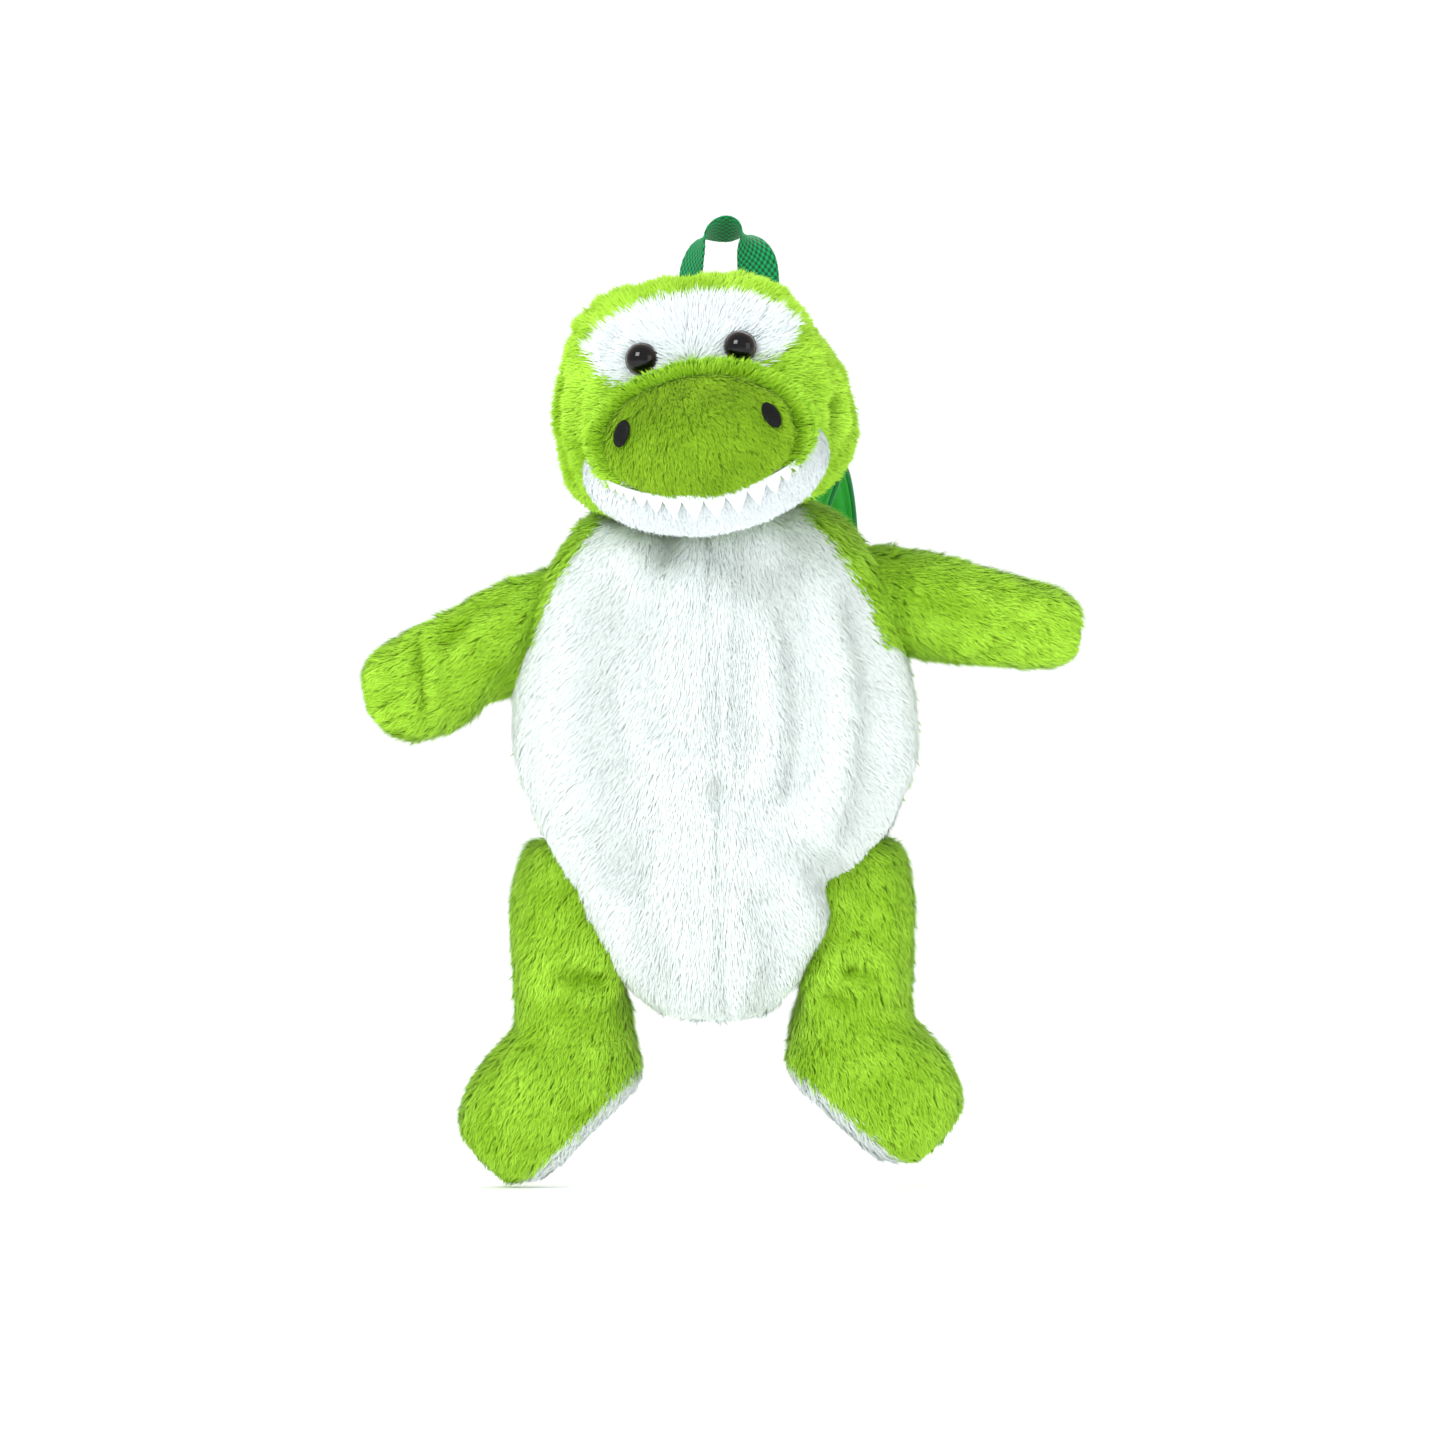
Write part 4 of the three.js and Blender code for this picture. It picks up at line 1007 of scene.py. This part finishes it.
def eyeFinish():
    made, tree, output = newMaterial("polishedAcrylic")
    rim = addNode(tree, "ShaderNodeAttribute", {"attribute_name": "rim"})
    share = addNode(tree, "ShaderNodeMapRange", None, {0: rim.outputs["Fac"], 1: 0.7, 2: 0.86, 3: 0.0, 4: 1.0})
    colour = addNode(tree, "ShaderNodeMix", {"data_type": "RGBA"},
                     {0: share.outputs[0], 6: linear("040304"), 7: linear("24150f")}).outputs[2]
    surface = addNode(tree, "ShaderNodeBsdfPrincipled", None,
                      {"Base Color": colour, "Roughness": 0.08, "Specular IOR Level": 0.22, "Coat Weight": 0.2,
                       "Coat Roughness": 0.03})
    tree.links.new(surface.outputs[0], output.inputs[0])
    return made


def latheMesh(name, profile, sides):
    points = [(r * math.cos(2 * math.pi * i / sides), r * math.sin(2 * math.pi * i / sides), h)
              for r, h in profile[1:-1] for i in range(sides)]
    rings = len(profile) - 2
    faces = [(r * sides + i, r * sides + (i + 1) % sides, (r + 1) * sides + (i + 1) % sides, (r + 1) * sides + i)
             for r in range(rings - 1) for i in range(sides)]
    points += [(0, 0, profile[0][1]), (0, 0, profile[-1][1])]
    start, end = len(points) - 2, len(points) - 1
    for i in range(sides):
        j = (i + 1) % sides
        faces.append((start, j, i))
        faces.append((end, (rings - 1) * sides + i, (rings - 1) * sides + j))
    mesh = bpy.data.meshes.new(name)
    mesh.from_pydata(points, [], faces)
    return mesh


def makeEyes():
    finish = eyeFinish()
    radius = head["eyeRadius"]
    profile = [(0, 5.5), (6.5, 5.5), (8.1, 6.2), (8.5, 7.0), (8.5, 7.9), (8.2, 8.4)]
    profile += [(8 * math.cos(math.radians(a)), 8.6 + 6.2 * math.sin(math.radians(a))) for a in range(4, 90, 6)]
    profile.append((0, 14.8))
    for word, side in (("left", 1), ("right", -1)):
        mesh = latheMesh(f"eye{word.title()}", [(r * mm, h * mm) for r, h in profile], 48)
        points = vectorsOf(mesh, "co")
        setField(mesh, "rim", "FLOAT", np.hypot(points[:, 0], points[:, 1]) / radius)
        place = (headPlace @ Matrix.Translation((side * head["eyeX"], head["eyeY"] + 7.4 * mm, head["eyeZ"]))
                 @ Matrix.Rotation(math.pi / 2, 4, "X"))
        mesh.transform(place)
        eye = added(f"eye{word.title()}", mesh)
        ownMaterial(eye, finish)
        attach(eye, "head")
        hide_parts(f"eye_{word}")


makeEyes()


# Nostrils: ovals of black satin stitch, a thread row every 0.5 mm

def clothFinish(name, deep, pale, scale, roughness, sheen, bumpHeight):
    made, tree, output = newMaterial(name)
    coords = addNode(tree, "ShaderNodeTexCoord")
    grain = addNode(tree, "ShaderNodeTexNoise", None, {"Vector": coords.outputs["Object"], "Scale": scale, "Detail": 3.0})
    colour = addNode(tree, "ShaderNodeMix", {"data_type": "RGBA"},
                     {0: grain.outputs[0], 6: linear(deep), 7: linear(pale)}).outputs[2]
    bump = addNode(tree, "ShaderNodeBump", None,
                   {"Strength": 0.6, "Distance": bumpHeight, "Height": grain.outputs[0]})
    surface = addNode(tree, "ShaderNodeBsdfPrincipled", None,
                      {"Base Color": colour, "Roughness": roughness, "Sheen Weight": sheen,
                       "Specular IOR Level": 0.2, "Normal": bump.outputs[0]})
    tree.links.new(surface.outputs[0], output.inputs[0])
    return made


def gridMesh(name, rows, columns, point):
    mesh = bpy.data.meshes.new(name)
    points = [point(i / (rows - 1), j / (columns - 1)) for i in range(rows) for j in range(columns)]
    faces = [(i * columns + j, i * columns + j + 1, (i + 1) * columns + j + 1, (i + 1) * columns + j)
             for i in range(rows - 1) for j in range(columns - 1)]
    mesh.from_pydata(points, [], faces)
    return mesh


def muzzleFront(x, z, grow):
    centre, radii = head["muzzle"]["centre"], head["muzzle"]["radii"]
    inside = 1 - ((x - centre[0]) / (radii[0] + grow)) ** 2 - ((z - centre[2]) / (radii[2] + grow)) ** 2
    return centre[1] - (radii[1] + grow) * math.sqrt(max(inside, 0))


def makeNostrils():
    thread = clothFinish("blackSatinStitch", "010202", "07080a", 1500.0, 0.55, 0.0, 0.0002)
    for word, side in (("left", 1), ("right", -1)):
        lean = head["nostrilLean"] * side

        def stitch(i, j):
            turn, reach = 2 * math.pi * j, i
            u, v = 3.9 * mm * reach * math.cos(turn), 7.2 * mm * reach * math.sin(turn)
            x = side * head["nostrilX"] + u * math.cos(lean) + v * math.sin(lean)
            z = head["nostrilZ"] - u * math.sin(lean) + v * math.cos(lean)
            rise = 1.3 * mm * math.sqrt(max(1 - reach ** 2, 0)) + 0.14 * mm * abs(math.sin(math.pi * v / (0.5 * mm)))
            return x, muzzleFront(x, z, 0.9 * mm) - rise, z

        mesh = gridMesh(f"nostril{word.title()}", 18, 97, stitch)
        patch = added(f"nostril{word.title()}", mesh)
        weld = patch.modifiers.new("weld", "WELD")
        weld.merge_threshold = 0.01 * mm
        wall = patch.modifiers.new("wall", "SOLIDIFY")
        wall.thickness = 2 * mm
        wall.offset = 1
        settled(patch)
        patch.data.transform(headPlace)
        fixNormals(patch)
        ownMaterial(patch, thread)
        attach(patch, "head")
        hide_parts(f"nostril_{word}")


def fixNormals(piece):
    work = bmesh.new()
    work.from_mesh(piece.data)
    bmesh.ops.recalc_face_normals(work, faces=work.faces)
    work.to_mesh(piece.data)
    work.free()


makeNostrils()


# Teeth: one strip of stiff felt, cut in a zigzag, larger a little left of the middle

teeth = {"count": 15, "reach": math.radians(63), "thickness": 1.2 * mm, "columns": 14, "rows": 6}


def makeTeeth():
    felt = clothFinish("pressedWhiteFelt", "dfe6ef", "f7faff", 1100.0, 0.9, 0.3, 0.0003)
    muzzle, jaw = head["muzzle"], head["jaw"]
    sizes = np.array([0.75 + 0.7 * math.cos((i / (teeth["count"] - 1) - 0.6) * math.pi) ** 2 for i in range(teeth["count"])])
    edges = np.concatenate([[0], np.cumsum(sizes)]) / sizes.sum() * 2 - 1
    total = teeth["count"] * teeth["columns"]

    def felted(i, j):
        spot = j * teeth["count"]
        tooth = min(int(spot), teeth["count"] - 1)
        part = spot - tooth
        angle = teeth["reach"] * (edges[tooth] + (edges[tooth + 1] - edges[tooth]) * part)
        size = (5.5 + 5 * math.cos((tooth / (teeth["count"] - 1) - 0.6) * math.pi) ** 2) * mm
        lowest = -4.5 * mm + size * (1 - abs(2 * part - 1)) ** 0.9
        depth = -8 * mm + (lowest + 8 * mm) * i
        x = (muzzle["radii"][0] + 1 * mm) * math.sin(angle)
        z = muzzle["centre"][2] - (muzzle["radii"][2] + depth) * math.cos(angle)
        grow = 1.2 * mm + 1.2 * mm * max(depth, 0) / (7 * mm) + 0.4 * mm * math.sin(tooth * 2.1)
        inside = 1 - (x / (jaw["radii"][0] + grow)) ** 2 - ((z - jaw["centre"][2]) / (jaw["radii"][2] + grow)) ** 2
        return x, jaw["centre"][1] - (jaw["radii"][1] + grow) * math.sqrt(max(inside, 0.01)), z

    strip = added("upperTeeth", gridMesh("upperTeeth", teeth["rows"], total + 1, felted))
    wall = strip.modifiers.new("wall", "SOLIDIFY")
    wall.thickness = teeth["thickness"]
    wall.offset = 0
    settled(strip)
    strip.data.transform(headPlace)
    fixNormals(strip)
    ownMaterial(strip, felt)
    strip.data.shade_flat()
    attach(strip, "head")
    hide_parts("upper_teeth")


makeTeeth()
print("face is finished")


# Repeated small parts along a path: stitches and zip teeth

def makeRowTree():
    tree = bpy.data.node_groups.new("rowAlongPath", "GeometryNodeTree")
    face = tree.interface
    face.new_socket("Geometry", in_out="INPUT", socket_type="NodeSocketGeometry")
    for name in ("Spacing", "Length", "Radius"):
        face.new_socket(name, in_out="INPUT", socket_type="NodeSocketFloat")
    face.new_socket("Finish", in_out="INPUT", socket_type="NodeSocketMaterial")
    face.new_socket("Geometry", in_out="OUTPUT", socket_type="NodeSocketGeometry")
    enter = addNode(tree, "NodeGroupInput").outputs
    leave = addNode(tree, "NodeGroupOutput")
    curve = addNode(tree, "GeometryNodeMeshToCurve", None, {0: enter["Geometry"]}).outputs[0]
    places = addNode(tree, "GeometryNodeCurveToPoints", {"mode": "LENGTH"}, {"Curve": curve, "Length": enter["Spacing"]})
    capsule = addNode(tree, "GeometryNodeMeshUVSphere", None, {0: 8, 1: 6, 2: 1.0}).outputs[0]
    size = addNode(tree, "ShaderNodeCombineXYZ", None, {
        0: enter["Radius"], 1: enter["Radius"],
        2: addNode(tree, "ShaderNodeMath", {"operation": "MULTIPLY"}, {0: enter["Length"], 1: 0.5}).outputs[0]}).outputs[0]
    grown = addNode(tree, "GeometryNodeInstanceOnPoints", None,
                    {"Points": places.outputs["Points"], "Instance": capsule,
                     "Rotation": places.outputs["Rotation"], "Scale": size}).outputs[0]
    real = addNode(tree, "GeometryNodeRealizeInstances", None, {0: grown}).outputs[0]
    smooth = addNode(tree, "GeometryNodeSetShadeSmooth", None, {0: real}).outputs[0]
    finished = addNode(tree, "GeometryNodeSetMaterial", None,
                       {"Geometry": smooth, "Material": enter["Finish"]}).outputs[0]
    tree.links.new(finished, leave.inputs[0])
    return tree


rowTree = makeRowTree()


def makeRows(name, paths, spacing, length, radius, finish):
    mesh = bpy.data.meshes.new(name)
    points, edges = [], []
    for path in paths:
        edges += [(len(points) + i, len(points) + i + 1) for i in range(len(path) - 1)]
        points += [tuple(p) for p in path]
    mesh.from_pydata(points, edges, [])
    row = added(name, mesh)
    grow = row.modifiers.new("row", "NODES")
    grow.node_group = rowTree
    sockets = {s.name: s.identifier for s in rowTree.interface.items_tree if s.in_out == "INPUT"}
    for key, value in (("Spacing", spacing), ("Length", length), ("Radius", radius), ("Finish", finish)):
        grow[sockets[key]] = value
    return settled(row)


# Straps: padded satin with a bound edge, webbing and a three-bar slider below

straps = {
    "pad": [(31, 43.5, -196, 34), (33, 48, -176, 36), (41, 55, -146, 38), (48, 66, -130, 40), (53, 78, -148, 40),
            (55, 82, -182, 40), (55, 77, -222, 39), (53, 65.5, -252, 34)],
    "web": [(54, 71.5, -236), (53, 65.5, -252), (53, 62, -262), (53, 50.75, -296), (53, 39.5, -330)],
    "shift": 10, "thickness": 6.5 * mm, "bindingRadius": 1.7 * mm, "stitchInset": 4 * mm,
}
satin = clothFinish("paddedSatin", "22962f", "40c44b", 90.0, 0.36, 0.25, 0.0012)
binding = clothFinish("bindingTape", "086a30", "0f8a42", 900.0, 0.5, 0.2, 0.0002)
threadFinish = clothFinish("greenThread", "0f9a4c", "36c873", 1500.0, 0.5, 0.2, 0.0001)
plastic = clothFinish("mouldedAcetal", "0b6a3a", "0f7a45", 500.0, 0.35, 0.0, 0.00005)


def nickelFinish():
    # nickel plating on cast zinc: bright, with a slightly uneven polish
    made, tree, output = newMaterial("nickelPlating")
    coords = addNode(tree, "ShaderNodeTexCoord")
    wear = addNode(tree, "ShaderNodeTexNoise", None, {"Vector": coords.outputs["Object"], "Scale": 400.0, "Detail": 4.0})
    rough = addNode(tree, "ShaderNodeMapRange", None, {0: wear.outputs[0], 1: 0.3, 2: 0.7, 3: 0.18, 4: 0.34}).outputs[0]
    colour = addNode(tree, "ShaderNodeMix", {"data_type": "RGBA"},
                     {0: wear.outputs[0], 6: linear("b9bcc0"), 7: linear("d6d8da")}).outputs[2]
    surface = addNode(tree, "ShaderNodeBsdfPrincipled", None,
                      {"Base Color": colour, "Metallic": 1.0, "Roughness": rough})
    tree.links.new(surface.outputs[0], output.inputs[0])
    return made


nickel = nickelFinish()


# a merged copy of a CAD node with its edges rounded
def roundedCopy(name, node, edge, finish, body):
    work = bmesh.new()
    work.from_mesh(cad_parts[node].data)
    bmesh.ops.remove_doubles(work, verts=work.verts, dist=1e-6)
    bmesh.ops.dissolve_limit(work, angle_limit=math.radians(2), verts=work.verts, edges=work.edges)
    mesh = bpy.data.meshes.new(name)
    work.to_mesh(mesh)
    work.free()
    piece = added(name, mesh)
    bevel = piece.modifiers.new("roundedEdge", "BEVEL")
    bevel.width = edge
    bevel.segments = 3
    bevel.limit_method = "ANGLE"
    even = piece.modifiers.new("evenShade", "WEIGHTED_NORMAL")
    even.keep_sharp = True
    piece.data.shade_smooth()
    settled(piece)
    piece.data.materials.clear()
    piece.data.materials.append(finish)
    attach(piece, body)
    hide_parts(node)
    return piece


def makeStrap(word, side):
    title = word.title()

    def strapX(x):
        return bag["middleX"] / mm + side * (x if side > 0 else x - straps["shift"])

    stations = [[strapX(x) * mm, y * mm, z * mm, 1, 0, 0, width * mm] for x, y, z, width in straps["pad"]]
    frames = pathFrames(stations, 110)
    at, across, out, width, reach = frames

    def padSection(step, wide, along):
        turn = np.linspace(0, 2 * math.pi, 40, endpoint=False)
        ends = min(1.0, 0.45 + min(along, reach[-1] - along) / (10 * mm))
        puff = 1 + 0.09 * math.sin(along / (9 * mm) + side) + 0.06 * math.sin(along / (3.1 * mm) + 2 * side)
        u = np.sign(np.cos(turn)) * np.abs(np.cos(turn)) ** 0.5 * wide / 2
        w = np.sign(np.sin(turn)) * np.abs(np.sin(turn)) ** 0.85 * straps["thickness"] / 2 * ends * puff
        dent = 1 - 0.55 * np.exp(-((np.abs(u) - (wide / 2 - straps["stitchInset"])) / (1.3 * mm)) ** 2)
        return np.stack([u, w * dent], 1)

    pad = stripMesh(f"strapPad{title}", frames, padSection)
    ownMaterial(pad, satin)
    edges = [at + across * (k * (width / 2 - 0.4 * mm))[:, None] for k in (-1, 1)]
    rims = []
    for k, edge in zip((-1, 1), edges):
        tube = [[*p, *across[i], straps["bindingRadius"] * 2] for i, p in enumerate(edge)]

        def rimSection(step, wide, along):
            turn = np.linspace(0, 2 * math.pi, 10, endpoint=False)
            return np.stack([np.cos(turn), np.sin(turn)], 1) * wide / 2

        rim = stripMesh(f"strapBinding{title}{'A' if k < 0 else 'B'}", pathFrames(tube, 150), rimSection)
        ownMaterial(rim, binding)
        rims.append(rim)
    rows = []
    for k in (-1, 1):
        for face in (-1, 1):
            lift = straps["thickness"] / 2 * 0.42
            rows.append(at[3:-3] + across[3:-3] * (k * (width[3:-3] / 2 - straps["stitchInset"]))[:, None]
                        + out[3:-3] * face * lift)
    stitches = makeRows(f"strapStitches{title}", rows, 3.2 * mm, 2.5 * mm, 0.35 * mm, threadFinish)
    web = makeWebbing(f"strapWebbing{title}", [(strapX(x), y, z, 1, 0, 0, 25) for x, y, z in straps["web"]])
    for piece in (pad, *rims, stitches, web):
        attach(piece, "bag")
    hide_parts(f"shoulder_strap_{word}")
    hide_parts(f"strap_webbing_{word}")
    roundedCopy(f"strapTab{title}", f"strap_tab_{word}", 0.5 * mm, binding, "bag")
    roundedCopy(f"strapSlider{title}", f"strap_slider_{word}", 0.5 * mm, plastic, f"strap_slider_{word}")


for word, side in (("left", 1), ("right", -1)):
    makeStrap(word, side)
print("straps are on")


# Zip: coil teeth between two woven tapes, and a nickel slider with its pull

zipParts = {"centre": (-11, 22.2, -160.8), "tilt": math.radians(-50), "half": 46, "pitch": 1.5}
zipPlace = Matrix.Translation(Vector(zipParts["centre"]) * mm) @ Matrix.Rotation(zipParts["tilt"], 4, "X")


def makeZip():
    coil = clothFinish("nylonCoil", "0a7a3e", "12954e", 700.0, 0.3, 0.0, 0.00005)
    for name, side in (("upper", -1), ("lower", 1)):
        shift = 0.4 if side > 0 else -0.35
        path = [zipPlace @ (Vector((x, side * 1.25, 0.55)) * mm)
                for x in np.arange(-zipParts["half"] + shift, zipParts["half"], 4.0)]
        teethRow = makeRows(f"zipTeeth{name.title()}", [path], zipParts["pitch"] * mm, 0.95 * mm, 1.05 * mm, coil)
        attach(teethRow, "bag")
        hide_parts(f"zip_teeth_{name}")
        roundedCopy(f"zipTape{name.title()}", f"zip_tape_{name}", 0.25 * mm, tapeCloth, "bag")
    for name in ("left", "right"):
        roundedCopy(f"zipStop{name.title()}", f"zip_stop_{name}", 0.3 * mm, nickel, "bag")
    roundedCopy("zipSlider", "zip_slider", 0.35 * mm, nickel, "zip_slider")
    roundedCopy("zipPull", "zip_pull", 0.35 * mm, nickel, "zip_pull")


tapeCloth = clothFinish("wovenTape", "00582c", "0d9a55", 1200.0, 0.65, 0.2, 0.0002)
makeZip()
washer = clothFinish("mouldedPolyethylene", "d2d2cc", "e2e2de", 300.0, 0.5, 0.0, 0.0001)
for word in ("left", "right"):
    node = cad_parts[f"eye_washer_{word}"]
    node.data.materials.clear()
    node.data.materials.append(washer)
print("zip is closed")
